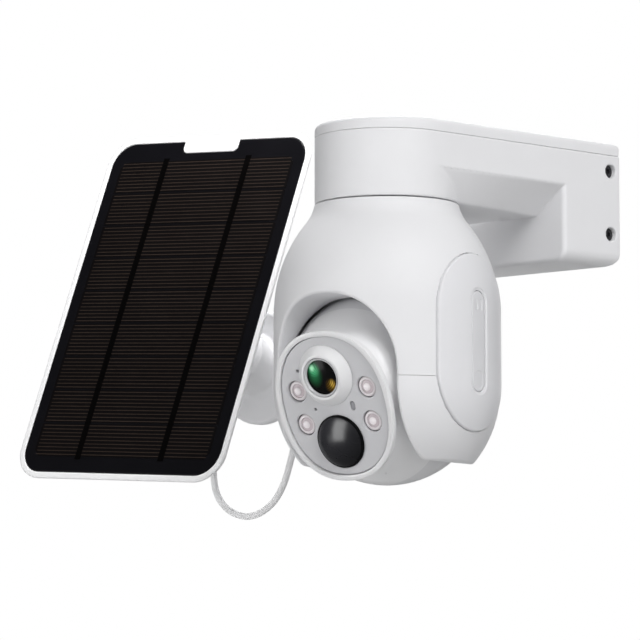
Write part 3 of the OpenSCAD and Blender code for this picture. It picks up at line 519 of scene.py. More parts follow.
AIM = Vector((-0.0894, -0.0665, -0.0530))
CAMERA_FAR = 1.7943
CAMERA_TURN = 41.0
CAMERA_RISE = 6.2
CAMERA_LENS = 196.875
CAMERA_SENSOR = 36
camera = bpy.data.objects.new("camera", bpy.data.cameras.new("camera"))
bpy.context.scene.collection.objects.link(camera)
camera_facing = spin(CAMERA_TURN, "Z") @ spin(90 + CAMERA_RISE, "X")
camera.matrix_world = Matrix.Translation(AIM) @ camera_facing @ Matrix.Translation((0, 0, CAMERA_FAR))
camera.data.sensor_width = CAMERA_SENSOR
camera.data.lens = CAMERA_LENS
camera.data.clip_end = 50
bpy.context.scene.camera = camera

# ---------- wall arm ----------

REACH = -pivot("pan").y
BOSS_R = 35.0
HALF_W = high("bracket_arm").x
ARM_TOP = high("bracket_lid").z
LID_Z = high("bracket_arm").z
BLOCK_Z = low("bracket_arm").z
SIDE_Z = LID_Z - 17.6
BOSS_Z = LID_Z - 32.3
BLOCK_D = 39.0
RIB_HALF = 29.5
ARM_WALL = 3.0
SIDE_SCREW_Y = -6.5
SIDE_SCREW_Z = (LID_Z - 8, BLOCK_Z + 16)
SIDE_SCREW_SEAT = 3.6
SIDE_HEAD_R = 3.5
SIDE_THREAD_R = 1.7
SIDE_POST_R = 6
SPINDLE_R = 14
PLUG_HOLE_R = 6


def arm_outline(inset=0.0, steps=60):
    """Plan of the arm: a round end, straight sides and a flat back at the wall."""
    radius, half = BOSS_R - inset, HALF_W - inset
    lean = math.atan2(REACH, half) - math.acos(radius / math.hypot(half, REACH))
    points = []
    for i in range(steps + 1):
        angle = lean - (math.pi + 2 * lean) * i / steps
        points.append((radius * math.cos(angle), -REACH + radius * math.sin(angle)))
    return points + [(-half, 0.0), (half, 0.0)]


arm_plan = Outline(arm_outline())


def side_at(y):
    return HALF_W + y * (HALF_W - BOSS_R) / REACH


def arm_outside(x, y, z):
    plan = arm_plan(x, y)
    upper = np.maximum(plan, SIDE_Z + 0.5 - z)
    boss = both(np.hypot(x, y + REACH) - BOSS_R, BOSS_Z - z, 0.6)
    # the rib's sides slope in from the lower edge of the upright sides
    spread = np.maximum((side_at(y) - RIB_HALF) / (SIDE_Z - BOSS_Z), 0.2)
    slope = (np.abs(x) - RIB_HALF - spread * (z - BOSS_Z)) / np.hypot(1, spread)
    rib = both(slope, plan, 0.7)
    rib = both(rib, BOSS_Z - z, 0.8)
    rib = np.maximum(rib, np.maximum(between(y, -REACH, -BLOCK_D + 6), z - SIDE_Z - 4))
    block = both(plan, BLOCK_Z - z, 6.5)
    block = both(block, -BLOCK_D - y, 2.2)
    return np.minimum(np.minimum(upper, boss), np.minimum(rib, block))


def bracket_field(x, y, z):
    outside = arm_outside(x, y, z)
    hollow = outside + ARM_WALL
    shape = both(outside, z - LID_Z, 0.4)
    shape = both(shape, y, 0.8)
    shape = np.maximum(shape, -np.maximum(hollow, z - LID_Z - 5))
    back = box_field(x, y, z, (-HALF_W + 5, -4, BLOCK_Z + ARM_WALL), (HALF_W - 5, 4, LID_Z + 5))
    shape = np.maximum(shape, -back)
    for height in SIDE_SCREW_Z:
        for side in (-1, 1):
            post = np.hypot(y - SIDE_SCREW_Y, z - height)
            seat = side * x - side_at(SIDE_SCREW_Y) + SIDE_SCREW_SEAT
            shape = np.minimum(shape, np.maximum(post - SIDE_POST_R, between(seat, -2, 2)))
            shape = both(shape, -np.maximum(post - SIDE_HEAD_R, -seat), 0.4)
            shape = np.maximum(shape, -np.maximum(post - SIDE_THREAD_R, between(seat, -8, 4)))
    spindle = np.maximum(np.hypot(x, y + REACH) - SPINDLE_R, z - BOSS_Z - 7)
    shape = np.maximum(shape, -spindle)
    entry = np.maximum(np.hypot(y - PLUG_TIP.y, z - PLUG_TIP.z) - PLUG_HOLE_R,
                       between(x, -HALF_W - 5, -HALF_W + 15))
    return np.maximum(shape, -entry)


bracket = skin("arm_shell", bracket_field, (-HALF_W - 2, -REACH - BOSS_R - 2, BLOCK_Z - 2),
               (HALF_W + 2, 3, LID_Z + 2), 0.6)
stand_in(bracket, "white_plastic", "bracket", "bracket_arm")

lid_lip = Outline(arm_outline(ARM_WALL + 0.1))
lid_room = Outline(arm_outline(ARM_WALL + 2))


def lid_field(x, y, z):
    plan = arm_plan(x, y)
    top = both(plan, z - ARM_TOP, 2.8)
    top = both(top, LID_Z + 0.05 - z, 0.3)
    top = both(top, y, 1.2)
    lip = np.maximum(np.maximum(lid_lip(x, y), between(z, LID_Z - 2, LID_Z + 1)), y + 5)
    room = np.maximum(np.maximum(lid_room(x, y), between(z, LID_Z - 4, LID_Z + 1.5)), y + 7)
    return np.maximum(np.minimum(top, lip), -room)


lid = skin("arm_lid", lid_field, (-HALF_W - 2, -REACH - BOSS_R - 2, LID_Z - 4),
           (HALF_W + 2, 3, ARM_TOP + 2), 0.5)
stand_in(lid, "white_plastic", "bracket", "bracket_lid")

# ---------- pan body ----------
# The body's own frame has its origin on the tilt axis.

TILT_Z = pivot("tilt").z
BODY_TOP = BOSS_Z - 0.5 - TILT_Z
BODY_FOOT = low("body_lower").z - TILT_Z
BODY_R = 54.7
SHOULDER = BODY_TOP - 52.5
BAND = SHOULDER - 37
NECK_R = 35.1
NECK_ARC = 22
NECK_LEAN = math.radians(12)
FOOT_ARC = 56
BODY_WALL = 2.5
TUNNEL_HALF = 34.3
ARCH_H = 39.8
CAVITY_R = 50.0
TUNNEL_WALL = 2.0
CAP_Z = 17.8
CAP_HALF = 27
CAP_H = 85
CAP_PROUD = 0.8
PORT_Y = -2.5
PORT_HALF = 5
PORT_H = 48
BUSH_R = 7.5
BUSH_BOSS_R = 9.5
BUSH_BOSS_L = 3.2
RIM_SWEEP = 57.5
GEAR_ROOM_R = 20
BODY_SPINDLE_R = 12


def arc(centre, radius, start, end, steps):
    """Points on an arc, with angles in radians."""
    return [(centre[0] + radius * math.cos(start + (end - start) * i / steps),
             centre[1] + radius * math.sin(start + (end - start) * i / steps)) for i in range(steps + 1)]


def body_outline():
    """Half section of the body, mirrored into a closed outline: out from the axis, and up."""
    rise = NECK_R + NECK_ARC * math.cos(NECK_LEAN) - BODY_R
    drop = BODY_TOP - SHOULDER + NECK_ARC * math.sin(NECK_LEAN)
    shoulder_arc = (rise * rise + drop * drop - NECK_ARC * NECK_ARC) / (2 * (NECK_ARC - rise))
    hollow = (NECK_R + NECK_ARC * math.cos(NECK_LEAN), BODY_TOP + NECK_ARC * math.sin(NECK_LEAN))
    shoulder = (BODY_R - shoulder_arc, SHOULDER)
    meet = math.atan2(hollow[1] - shoulder[1], hollow[0] - shoulder[0])
    foot = (BODY_R - FOOT_ARC, BAND)
    foot_end = math.asin((BODY_FOOT - BAND) / FOOT_ARC)
    right = arc(foot, FOOT_ARC, foot_end, 0, 40)
    right += arc(shoulder, shoulder_arc, 0, meet, 40)
    right += arc(hollow, NECK_ARC, math.pi + meet, math.pi + NECK_LEAN, 24)
    return right + [(-across, up) for across, up in reversed(right)]


body_section = Outline(body_outline())
ARCH_POWER = 2 / 2.3
arch = Outline([(TUNNEL_HALF * math.copysign(abs(math.cos(a)) ** ARCH_POWER, math.cos(a)),
                 ARCH_H * math.sin(a) ** ARCH_POWER) for a in np.linspace(0, math.pi, 60)[:-1]]
               + [(-TUNNEL_HALF, 0), (-TUNNEL_HALF, -80), (TUNNEL_HALF, -80)], margin=20)


def stadium(half, length):
    """Outline with straight sides and round ends."""
    straight = length / 2 - half
    return arc((0, straight), half, 0, math.pi, 30) + arc((0, -straight), half, math.pi, 2 * math.pi, 30)


cap_shape = Outline(stadium(CAP_HALF, CAP_H))
port_shape = Outline(stadium(PORT_HALF, PORT_H), step=0.25)


def tunnel(x, y, z):
    """Room for the head: an arch at the front that opens into part of a ball."""
    front = np.maximum(arch(x, z), y)
    ball = np.sqrt(x * x + y * y + z * z) - CAVITY_R
    return np.minimum(front, np.maximum(ball, np.abs(x) - TUNNEL_HALF))


def body_field(x, y, z):
    outside = body_section(np.hypot(x, y), z)
    solid = both(outside, z - BODY_TOP, 0.5)
    solid = both(solid, BODY_FOOT - z, 1.5)
    room = np.maximum(np.maximum(outside + BODY_WALL, BODY_FOOT + BODY_WALL - z), z - BODY_TOP + BODY_WALL)
    shape = np.maximum(solid, -np.maximum(room, TUNNEL_WALL - tunnel(x, y, z)))
    shape = both(shape, -tunnel(x, y, z), 1.6)
    cap = cap_shape(y, z - CAP_Z)
    recess = np.maximum(np.maximum(cap - 0.2, 30 - np.abs(x)), -1.2 - outside)
    shape = both(shape, -recess, 0.3)
    shape = np.maximum(shape, -np.maximum(cap + 2, TUNNEL_HALF + TUNNEL_WALL + 4 - np.abs(x)))
    # room for the rim when the head looks straight down
    rim_room = np.maximum(np.maximum(np.hypot(y, z) - RIM_SWEEP, np.abs(x) - TUNNEL_HALF),
                          box_field(x, y, z, (-100, 0, -70), (100, 70, -28)))
    shape = both(shape, -rim_room, 0.8)
    for side in (-1, 1):
        bush = np.hypot(y, z)
        along = side * x
        boss = np.maximum(bush - BUSH_BOSS_R, between(along, TUNNEL_HALF, TUNNEL_HALF + BUSH_BOSS_L))
        bore = np.maximum(bush - BUSH_R, between(along, 30, TUNNEL_HALF + 8))
        shape = np.maximum(np.minimum(shape, boss), -bore)
    gear_room = np.maximum(np.hypot(x, y) - GEAR_ROOM_R, BODY_TOP - 3 - z)
    shape = np.maximum(shape, -gear_room)
    return np.maximum(shape, -np.maximum(np.hypot(x, y) - BODY_SPINDLE_R, BODY_TOP - 6 - z))


body_whole = skin("body_whole", body_field, (-BODY_R - 2, -BODY_R - 2, BODY_FOOT - 2),
                  (BODY_R + 2, BODY_R + 2, BODY_TOP + 2), 0.62, AT_BODY)
SEAM = 0.2
seam_top = pivot("tilt")
upper = halved(body_whole, "upper_housing", seam_top, Vector((0, 0, -1)))
lower = halved(body_whole, "lower_housing", seam_top - Vector((0, 0, SEAM)), Vector((0, 0, 1)))
bpy.data.objects.remove(body_whole)
stand_in(upper, "white_plastic", "pan_body", "body_upper")
stand_in(lower, "white_plastic", "pan_body", "body_lower")


def cap_field(has_port):
    def field(x, y, z):
        outside = body_section(np.hypot(x, y), z)
        cap = cap_shape(y, z - CAP_Z)
        shape = both(cap, outside - CAP_PROUD, 0.7)
        shape = np.maximum(np.maximum(shape, -1.1 - outside), 20 - x)
        lip = np.maximum(np.maximum(cap + 2.3, -cap - 4), between(outside, -3.5, -1))
        shape = np.minimum(shape, np.maximum(lip, 20 - x))
        if has_port:
            port = port_shape(y - PORT_Y, z - CAP_Z)
            shape = both(shape, -np.maximum(port - 0.25, 30 - x), 0.35)
            # shallow lip round the port cover
            dish = np.maximum(port - 1.3, CAP_PROUD - 0.35 - outside)
            shape = both(shape, -np.maximum(dish, 30 - x), 0.25)
        return shape
    return field


def port_field(x, y, z):
    outside = body_section(np.hypot(x, y), z)
    port = port_shape(y - PORT_Y, z - CAP_Z)
    shape = both(port, outside - CAP_PROUD + 0.5, 0.5)
    for across in (-1.7, 1.7):
        mark = np.hypot(y - PORT_Y - across, np.maximum(np.abs(z - CAP_Z - 17.5) - 1.6, 0)) - 1.0
        shape = np.maximum(shape, -np.maximum(mark, CAP_PROUD - 0.75 - outside))
    grip = np.hypot(y - PORT_Y, np.maximum(np.abs(z - CAP_Z + 18.3) - 1.2, 0)) - 3.2
    shape = np.maximum(shape, -np.maximum(grip, CAP_PROUD - 0.8 - outside))
    return np.maximum(np.maximum(shape, -1.1 - outside), 20 - x)


CAP_LOW = (36, -CAP_HALF - 2, CAP_Z - CAP_H / 2 - 2)
CAP_HIGH = (BODY_R + 3, CAP_HALF + 2, CAP_Z + CAP_H / 2 + 2)
cap_right = skin("right_cover", cap_field(True), CAP_LOW, CAP_HIGH, 0.42, AT_BODY)
cap_left = skin("left_cover", cap_field(False), CAP_LOW, CAP_HIGH, 0.5, AT_BODY @ spin(180, "Z"))
port = skin("port_flap", port_field, (44, PORT_Y - 8, CAP_Z - 27),
            (BODY_R + 2, PORT_Y + 8, CAP_Z + 27), 0.3, AT_BODY)
stand_in(cap_right, "cap_plastic", "pan_body", "side_cap_right")
stand_in(cap_left, "cap_plastic", "pan_body", "side_cap_left")
stand_in(port, "port_rubber", "port_flap", "port_cover")

# ---------- head ----------
# The head's own frame has its origin on the tilt axis and looks along -Y.

BALL_R = 48.5
SLAB_HALF = 33.6
FACE_Y = 45.0
FACE_Z = 3.4
FACE_HALF = 29.6
FACE_UP = 34.1
RIM_W = 2.9
RIM_PROUD = 1.2
HEAD_WALL = 2.4
HEAD_SPLIT = 20
PLATE_T = 2.6
LENS_R = 9.0
LENS_X = -1.2
LENS_Z = FACE_Z + 15.2
DOME_R = 12.3
DOME_X = -0.7
DOME_Z = FACE_Z - 17.6
DOME_RISE = 5.5
DOME_RING_H = 1.2
LED_SPOTS = [(-20.1, FACE_Z + 8), (20.1, FACE_Z + 8), (-19.3, FACE_Z - 8.7), (19.3, FACE_Z - 8.7)]
LED_POCKET = 5.3
MIC_SPOT = (-17.2, FACE_Z + 18.1)
MIC_R = 0.8
STATUS_SPOT = (-11.5, FACE_Z - 1.2)
STATUS_R = 0.7
LIGHT_SPOT = (10.2, FACE_Z - 0.6)
LIGHT_R = 1.35
LIGHT_HALF = 0.9


def egg(half, up, steps=120, power=2 / 2.25):
    """A superellipse, a little squarer than an ellipse."""
    points = []
    for i in range(steps):
        c, s = math.cos(2 * math.pi * i / steps), math.sin(2 * math.pi * i / steps)
        points.append((half * math.copysign(abs(c) ** power, c), up * math.copysign(abs(s) ** power, s)))
    return points


face_shape = Outline(egg(FACE_HALF, FACE_UP), margin=30)


def head_outside(x, y, z):
    ball = np.sqrt(x * x + y * y + z * z) - BALL_R
    ball = both(ball, np.abs(x) - SLAB_HALF, 2)
    face = face_shape(x, z - FACE_Z)
    # behind the rim the neck steps in, then narrows towards the ball
    step = np.clip((y + FACE_Y - 1.2) / 4.5, 0, 1)
    pod = face - RIM_W + 4.2 * step * step * (3 - 2 * step) + 2.0 * np.clip((y + FACE_Y - 6) / 16, 0, 1)
    pod = np.maximum(pod, y + 22)
    return either(ball, pod, 2.5)


def head_field(x, y, z):
    outside = head_outside(x, y, z)
    face = face_shape(x, z - FACE_Z)
    shape = both(outside, -y - FACE_Y - RIM_PROUD, 0.5)
    room = np.maximum(outside + HEAD_WALL, -y - FACE_Y + PLATE_T + 3)
    shape = np.maximum(shape, -room)
    mouth = np.maximum(face - 0.25, y + FACE_Y - PLATE_T)
    shape = both(shape, -mouth, 0.4)
    inner_mouth = np.maximum(face + 3.2, y + 30)
    shape = np.maximum(shape, -inner_mouth)
    return shape


head_whole = skin("head_whole", head_field, (-SLAB_HALF - 4, -FACE_Y - 4, -BALL_R - 2),
                  (SLAB_HALF + 4, BALL_R + 2, BALL_R + 2), 0.55, AT_HEAD)
head_turn = AT_HEAD.to_3x3()
split_at = AT_HEAD @ Vector((0, -HEAD_SPLIT, 0))
head_back = head_turn @ Vector((0, 1, 0))
bezel = halved(head_whole, "front_shell", split_at, head_back)
shell = halved(head_whole, "rear_shell", split_at, -head_back)
bpy.data.objects.remove(head_whole)
# the front bezel wears the lighter copy of the head's plastic, painted light
stand_in(bezel, "rim_white", "head", "front_bezel", slot="head_plastic")
stand_in(shell, "head_plastic", "head", "head_shell")


def on_face(x, z):
    """A frame on the face's middle plane whose Z points forward."""
    return AT_HEAD @ Matrix.Translation((x, 0, z)) @ FORWARD


def plate_field(x, y, z):
    face = face_shape(x, z - FACE_Z)
    shape = both(face, -y - FACE_Y, 0.5)
    shape = np.maximum(shape, y + FACE_Y - PLATE_T)
    lens_hole = np.hypot(x - LENS_X, z - LENS_Z) - LENS_R - 1.9
    dome_hole = np.hypot(x - DOME_X, z - DOME_Z) - DOME_R + 1
    shape = np.maximum(shape, -np.minimum(lens_hole, dome_hole))
    for across, up in LED_SPOTS:
        pocket = np.hypot(x - across, z - up) - LED_POCKET
        shape = both(shape, -pocket, 0.5)
    for (across, up), radius in ((MIC_SPOT, MIC_R), (STATUS_SPOT, STATUS_R)):
        shape = both(shape, -(np.hypot(x - across, z - up) - radius), 0.15)
    light = np.hypot(x - LIGHT_SPOT[0], np.maximum(np.abs(z - LIGHT_SPOT[1]) - LIGHT_HALF, 0)) - LIGHT_R
    return both(shape, -light, 0.2)


plate = skin("grey_plate", plate_field, (-FACE_HALF - 1, -FACE_Y - 1, FACE_Z - FACE_UP - 1),
             (FACE_HALF + 1, -FACE_Y + PLATE_T + 1, FACE_Z + FACE_UP + 1), 0.32, AT_HEAD)
stand_in(plate, "plate_grey", "head", "face_plate")

# Lens: a white collar in a lighter copy of the head's plastic, which is painted light, a thin metal ring with a
# lip, and a coated glass with painted reflections that glow faintly
lens_place = on_face(LENS_X, LENS_Z)
collar = lathe("lens_cone", [
    (LENS_R + 0.7, FACE_Y), (LENS_R + 6.0, FACE_Y), (LENS_R + 5.8, FACE_Y + 0.7), (LENS_R + 2.0, FACE_Y + 4.7),
    (LENS_R + 0.7, FACE_Y + 4.7)], lens_place, radius=0.3, closed=True, steps=120)
# the collar wears the lighter copy of the head's plastic, painted light
stand_in(collar, "rim_white", "head", "lens_collar", slot="head_plastic")
ring = lathe("lens_bezel", [
    (LENS_R + 0.05, FACE_Y - 3.6), (LENS_R + 1.7, FACE_Y - 3.6), (LENS_R + 1.7, FACE_Y - 0.6),
    (LENS_R + 0.35, FACE_Y - 0.4), (LENS_R + 0.35, FACE_Y + 4.6), (LENS_R - 0.05, FACE_Y + 4.6),
    (LENS_R - 0.5, FACE_Y + 3.9), (LENS_R - 0.5, FACE_Y + 3.3), (LENS_R + 0.05, FACE_Y + 2.9)],
    lens_place, radius=0.12, closed=True, steps=120)
stand_in(ring, "lens_metal", "head", "lens_ring")

# ---------- materials that need their place ----------


def lens_coating():
    """Coated glass with painted reflections: green at its upper left, amber at its lower right, with fine streaks
    and rings, and a faint painted glow.
    """
    made = bpy.data.materials.new("lens_coating")
    made.use_nodes = True
    nodes, links = made.node_tree.nodes, made.node_tree.links
    shader = nodes["Principled BSDF"]
    shader.inputs["Specular IOR Level"].default_value = 0.06
    where = nodes.new("ShaderNodeUVMap")
    where.uv_map = "disc"
    split = nodes.new("ShaderNodeSeparateXYZ")
    links.new(where.outputs["UV"], split.inputs["Vector"])

    def calc(kind, *values):
        node = nodes.new("ShaderNodeMath")
        node.operation = kind
        for socket, value in zip(node.inputs, values):
            if isinstance(value, (int, float)):
                socket.default_value = value
            else:
                links.new(value, socket)
        return node.outputs[0]

    def spot(across, up, wide, tall):
        """1 at a spot of the disc, fading to 0 at its edge."""
        dx = calc("DIVIDE", calc("SUBTRACT", split.outputs["X"], across), wide)
        dy = calc("DIVIDE", calc("SUBTRACT", split.outputs["Y"], up), tall)
        far = calc("SQRT", calc("ADD", calc("MULTIPLY", dx, dx), calc("MULTIPLY", dy, dy)))
        fade = nodes.new("ShaderNodeMapRange")
        fade.interpolation_type = "SMOOTHSTEP"
        fade.inputs["From Min"].default_value = 1
        fade.inputs["From Max"].default_value = 0.1
        links.new(far, fade.inputs["Value"])
        return fade.outputs["Result"]

    radius = calc("SQRT", calc("ADD", calc("MULTIPLY", split.outputs["X"], split.outputs["X"]),
                               calc("MULTIPLY", split.outputs["Y"], split.outputs["Y"])))
    rings = calc("ADD", 0.62, calc("MULTIPLY", 0.38, calc("SINE", calc("MULTIPLY", radius, 58))))
    angle = calc("ARCTAN2", split.outputs["Y"], split.outputs["X"])
    streaks = calc("ADD", 0.72, calc("MULTIPLY", 0.28, calc("SINE", calc("MULTIPLY", angle, 26))))
    mixed = nodes.new("ShaderNodeRGB").outputs[0]
    mixed.default_value = colour((0.002, 0.002, 0.002))
    for tone, strength, place in (
        ((0.010, 0.10, 0.036), 0.9, (-0.44, 0.22, 0.60, 0.86)),
        ((0.05, 0.36, 0.15), streaks, (-0.44, 0.40, 0.46, 0.46)),
        ((0.34, 0.72, 0.45), 0.8, (-0.56, 0.52, 0.24, 0.26)),
        ((0.13, 0.07, 0.008), rings, (0.50, -0.52, 0.44, 0.50)),
        ((0.50, 0.32, 0.05), rings, (0.56, -0.40, 0.22, 0.34)),
    ):
        blend = nodes.new("ShaderNodeMix")
        blend.data_type = "RGBA"
        links.new(calc("MULTIPLY", spot(*place), strength), blend.inputs["Factor"])
        links.new(mixed, blend.inputs["A"])
        blend.inputs["B"].default_value = colour(tone)
        mixed = blend.outputs["Result"]
    links.new(mixed, shader.inputs["Base Color"])
    links.new(mixed, shader.inputs["Emission Color"])
    # painted glow: the painted reflections shine faintly of themselves
    shader.inputs["Emission Strength"].default_value = 0.45
    shader.inputs["Roughness"].default_value = 0.15
    materials["lens_coating"] = made


lens_coating()


def disc_map(piece, place, radius):
    """A UV map whose X and Y run from -1 to 1 across a round piece."""
    back = (Matrix.Scale(MM, 4) @ place).inverted()
    layer = piece.data.uv_layers.new(name="disc")
    for loop in piece.data.loops:
        point = back @ piece.data.vertices[loop.vertex_index].co
        layer.data[loop.index].uv = (point.x / radius, point.y / radius)


glass_crown = [(LENS_R * t, FACE_Y + 3.8 - t * t) for t in np.linspace(0, 1, 16)]
front_glass = lathe("lens_front", glass_crown + [(LENS_R, FACE_Y - 1.5), (0, FACE_Y - 1.5)],
                    lens_place, radius=0.1, steps=96)
disc_map(front_glass, lens_place, LENS_R)
stand_in(front_glass, "lens_coating", "head", "lens_glass", slot="lens_glass")

# Lamps: each a clear dome in its pocket, over a ring and a chip with a faint painted glow
lamp_domes, lamp_rings, lamp_chips = [], [], []
for across, up in LED_SPOTS:
    place = on_face(across, up)
    top = FACE_Y - 1.0
    lamp_rings.append(lathe("lamp", [
        (LED_POCKET - 2.0, top - 2.2), (LED_POCKET - 0.3, top - 2.2), (LED_POCKET - 0.3, top - 0.7),
        (LED_POCKET - 0.8, top - 0.1), (LED_POCKET - 1.6, top + 0.1), (LED_POCKET - 2.0, top - 0.4)],
        place, radius=0.25, closed=True, steps=64))
    lamp_domes.append(lathe("lamp", [
        (0, top + 0.9), (1.3, top + 0.6), (2.2, top - 0.2), (LED_POCKET - 2.0, top - 0.6),
        (LED_POCKET - 2.0, top - 2.2), (0, top - 2.2)], place, radius=0.5, steps=64))
    lamp_chips.append(lathe("lamp", [
        (0, top + 1.0), (1.2, top + 0.85), (1.9, top + 0.3), (1.9, top - 14), (0, top - 14)],
        place, radius=0.3, steps=48))
stand_in(joined("lamp_domes", lamp_domes), "lamp_clear", "head", "led_lenses")
stand_in(joined("lamp_rings", lamp_rings), "lamp_ring", "head", slot="lamp_clear")
stand_in(joined("lamp_chips", lamp_chips), "lamp_emitter", "head", "led_emitters")

# Motion sensor dome with its seat ring
dome_place = on_face(DOME_X, DOME_Z)
seat = lathe("dome_seat", [
    (DOME_R - 1, FACE_Y - 0.4), (DOME_R + 0.8, FACE_Y - 0.4), (DOME_R + 0.8, FACE_Y + 0.8),
    (DOME_R + 0.3, FACE_Y + DOME_RING_H), (DOME_R - 1, FACE_Y + DOME_RING_H)],
    dome_place, radius=0.4, closed=True, steps=120)
stand_in(seat, "black_gloss", "head", "dome_ring")
dome_ball = (DOME_R ** 2 + DOME_RISE ** 2) / (2 * DOME_RISE)
dome_edge = math.asin((DOME_R - 0.15) / dome_ball)
dome_points = [(dome_ball * math.sin(a), FACE_Y + DOME_RING_H + DOME_RISE + dome_ball * (math.cos(a) - 1))
               for a in np.linspace(0, dome_edge, 24)]
dome = lathe("sensor_dome", dome_points + [(DOME_R - 0.15, FACE_Y + 0.6), (DOME_R - 1.1, FACE_Y + 0.6),
                                           (DOME_R - 1.1, FACE_Y - 3.6), (DOME_R - 2.4, FACE_Y - 3.6),
                                           (DOME_R - 2.4, FACE_Y + 1.5), (5, FACE_Y + 4.4), (0, FACE_Y + 5.2)],
             dome_place, radius=0.15, steps=120)
stand_in(dome, "black_gloss", "head", "pir_dome")

# ---------- solar panel ----------
# The panel's own frame: X across, Y from its front face back, Z up the panel.

PANEL_W = 138.5
PANEL_H = 201.0
PANEL_T = 6.0
PANEL_CORNER = 17.0
FRAME_W = 3.2
EDGE_T = 2.6
SKIRT = 3.5
NOTCH_HALF = 18.5
CELL_ROWS = 9
CELL_W = PANEL_W - 20.5
CELL_TOP = PANEL_H / 2 - 14.3
CELL_FOOT = -PANEL_H / 2 + 12
CELL_GAP = 0.8
BUS_X = 28.0
BUS_W = 3.8
FINGERS = 9
CELL_CUT = 3.5
CELL_NICK = 0.5


def rounded_box(x, z, half_x, half_z, radius):
    """Distance to a rounded rectangle."""
    far_x = np.abs(x) - half_x + radius
    far_z = np.abs(z) - half_z + radius
    beyond = np.hypot(np.maximum(far_x, 0), np.maximum(far_z, 0))
    return beyond + np.minimum(np.maximum(far_x, far_z), 0) - radius


def window(x, z, inset=0.0):
    """Opening of the frame's front: a rounded rectangle less the tab at its top."""
    opening = rounded_box(x, z, PANEL_W / 2 - FRAME_W - inset, PANEL_H / 2 - FRAME_W - inset,
                          PANEL_CORNER - FRAME_W)
    tab = rounded_box(x, z - PANEL_H / 2 + 5, NOTCH_HALF + inset, 5 + inset, 3)
    return both(opening, -tab, 0.8)


def panel_plan(x, z, inset=0.0):
    return rounded_box(x, z, PANEL_W / 2 - inset, PANEL_H / 2 - inset, PANEL_CORNER - inset)


def frame_field(x, y, z):
    # the edge narrows towards the back, down to the skirt
    edge = (panel_plan(x, z) + np.maximum(y - 1.4, 0)) * 0.8
    shape = both(edge, -y, 0.6)
    shape = both(shape, y - EDGE_T, 0.3)
    skirt = both(panel_plan(x, z, SKIRT), y - PANEL_T, 0.8)
    shape = np.minimum(shape, np.maximum(skirt, 1 - y))
    shape = both(shape, -np.maximum(window(x, z), y - 1.2), 0.25)
    return np.maximum(shape, -np.maximum(panel_plan(x, z, SKIRT + 2.5), 2.8 - y))


panel_frame = skin("panel_rim", frame_field, (-PANEL_W / 2 - 1, -1, -PANEL_H / 2 - 1),
                   (PANEL_W / 2 + 1, PANEL_T + 1, PANEL_H / 2 + 1), 0.45, AT_PANEL)
stand_in(panel_frame, "panel_white", "solar_panel", "panel_frame")


def sheet_field(x, y, z):
    return np.maximum(window(x, z, 0.15), between(y, 0.2, 1.2))


sheet = skin("dark_sheet", sheet_field, (-PANEL_W / 2, -0.4, -PANEL_H / 2),
             (PANEL_W / 2, 1.8, PANEL_H / 2), 0.6, AT_PANEL)
stand_in(sheet, "solar_black", "solar_panel", "backing_sheet")

pitch = (CELL_TOP - CELL_FOOT) / CELL_ROWS
cells, fingers = [], []
for row in range(CELL_ROWS):
    foot = CELL_FOOT + row * pitch + CELL_GAP / 2
    tall = pitch - CELL_GAP
    head = foot + tall
    half = CELL_W / 2
    # the first and last cells have their outer corners cut off
    high_cut = CELL_CUT if row == CELL_ROWS - 1 else CELL_NICK
    low_cut = CELL_CUT if row == 0 else CELL_NICK
    corners = [(-half + low_cut, foot), (half - low_cut, foot), (half, foot + low_cut),
               (half, head - high_cut), (half - high_cut, head), (-half + high_cut, head),
               (-half, head - high_cut), (-half, foot + low_cut)]
    points = [(x, y, z) for y in (0.19, 0.08) for x, z in corners]
    count = len(corners)
    faces = [list(range(count)), [count + i for i in reversed(range(count))]]
    faces += [(i, i + count, (i + 1) % count + count, (i + 1) % count) for i in range(count)]
    cells.append(new_piece("cell", points, faces, AT_PANEL))
    for line in range(FINGERS):
        height = foot + tall * (line + 0.5) / FINGERS
        fingers.append(slab("finger", (CELL_W - 3, 0.03, 0.42), (0, 0.075, height), AT_PANEL, 0))
stand_in(joined("cell_strips", cells), "solar_cell", "solar_panel", "solar_cells")
stand_in(joined("cell_fingers", fingers), "cell_finger", "solar_panel", slot="solar_cell")
bar_size = (BUS_W, 0.05, CELL_TOP - CELL_FOOT + 2.5)
bars = [slab("bar", bar_size, (side * BUS_X, 0.06, (CELL_TOP + CELL_FOOT) / 2), AT_PANEL, 0)
        for side in (-1, 1)]
stand_in(joined("bus_bars", bars), "bus_ribbon", "solar_panel", slot="solar_cell")

# ---------- solar wall base ----------

BASE_R = 31
BASE = Vector((low("solar_base").x + BASE_R, 0, low("solar_base").z + BASE_R))
BASE_T = 6.0
HUB_R = 15
HUB_L = 20
ARM_HOLE_R = 6.5
BOLT_X = 20
BOLT_Z = 12
BOLT_HOLE_R = 2.2
AT_ARM = Matrix.Translation((BASE.x, -BASE_T, BASE.z)) @ spin(90 - ARM_RISE, "X")
arm_turn = AT_ARM.to_3x3()


def base_field(x, y, z):
    disc = np.hypot(x - BASE.x, z - BASE.z)
    plate = both(disc - BASE_R, -y - BASE_T, 2.0)
    plate = both(plate, y, 0.5)
    along_y, along_z = arm_turn.col[2].y, arm_turn.col[2].z
    along = (y + BASE_T) * along_y + (z - BASE.z) * along_z
    across = np.sqrt(np.maximum((x - BASE.x) ** 2 + (y + BASE_T) ** 2 + (z - BASE.z) ** 2 - along ** 2, 0))
    hub = both(across - HUB_R + 3 * np.clip((along - 14) / 6, 0, 1), along - HUB_L, 1.5)
    hub = np.maximum(hub, y)
    shape = either(plate, hub, 3.0)
    shape = np.maximum(shape, y)
    shape = np.maximum(shape, -np.maximum(across - ARM_HOLE_R, 2 - along))
    for side in (-1, 1):
        for up in (-1, 1):
            hole = np.hypot(x - BASE.x - side * BOLT_X, z - BASE.z - up * BOLT_Z)
            shape = both(shape, -(hole - BOLT_HOLE_R), 0.3)
    return shape


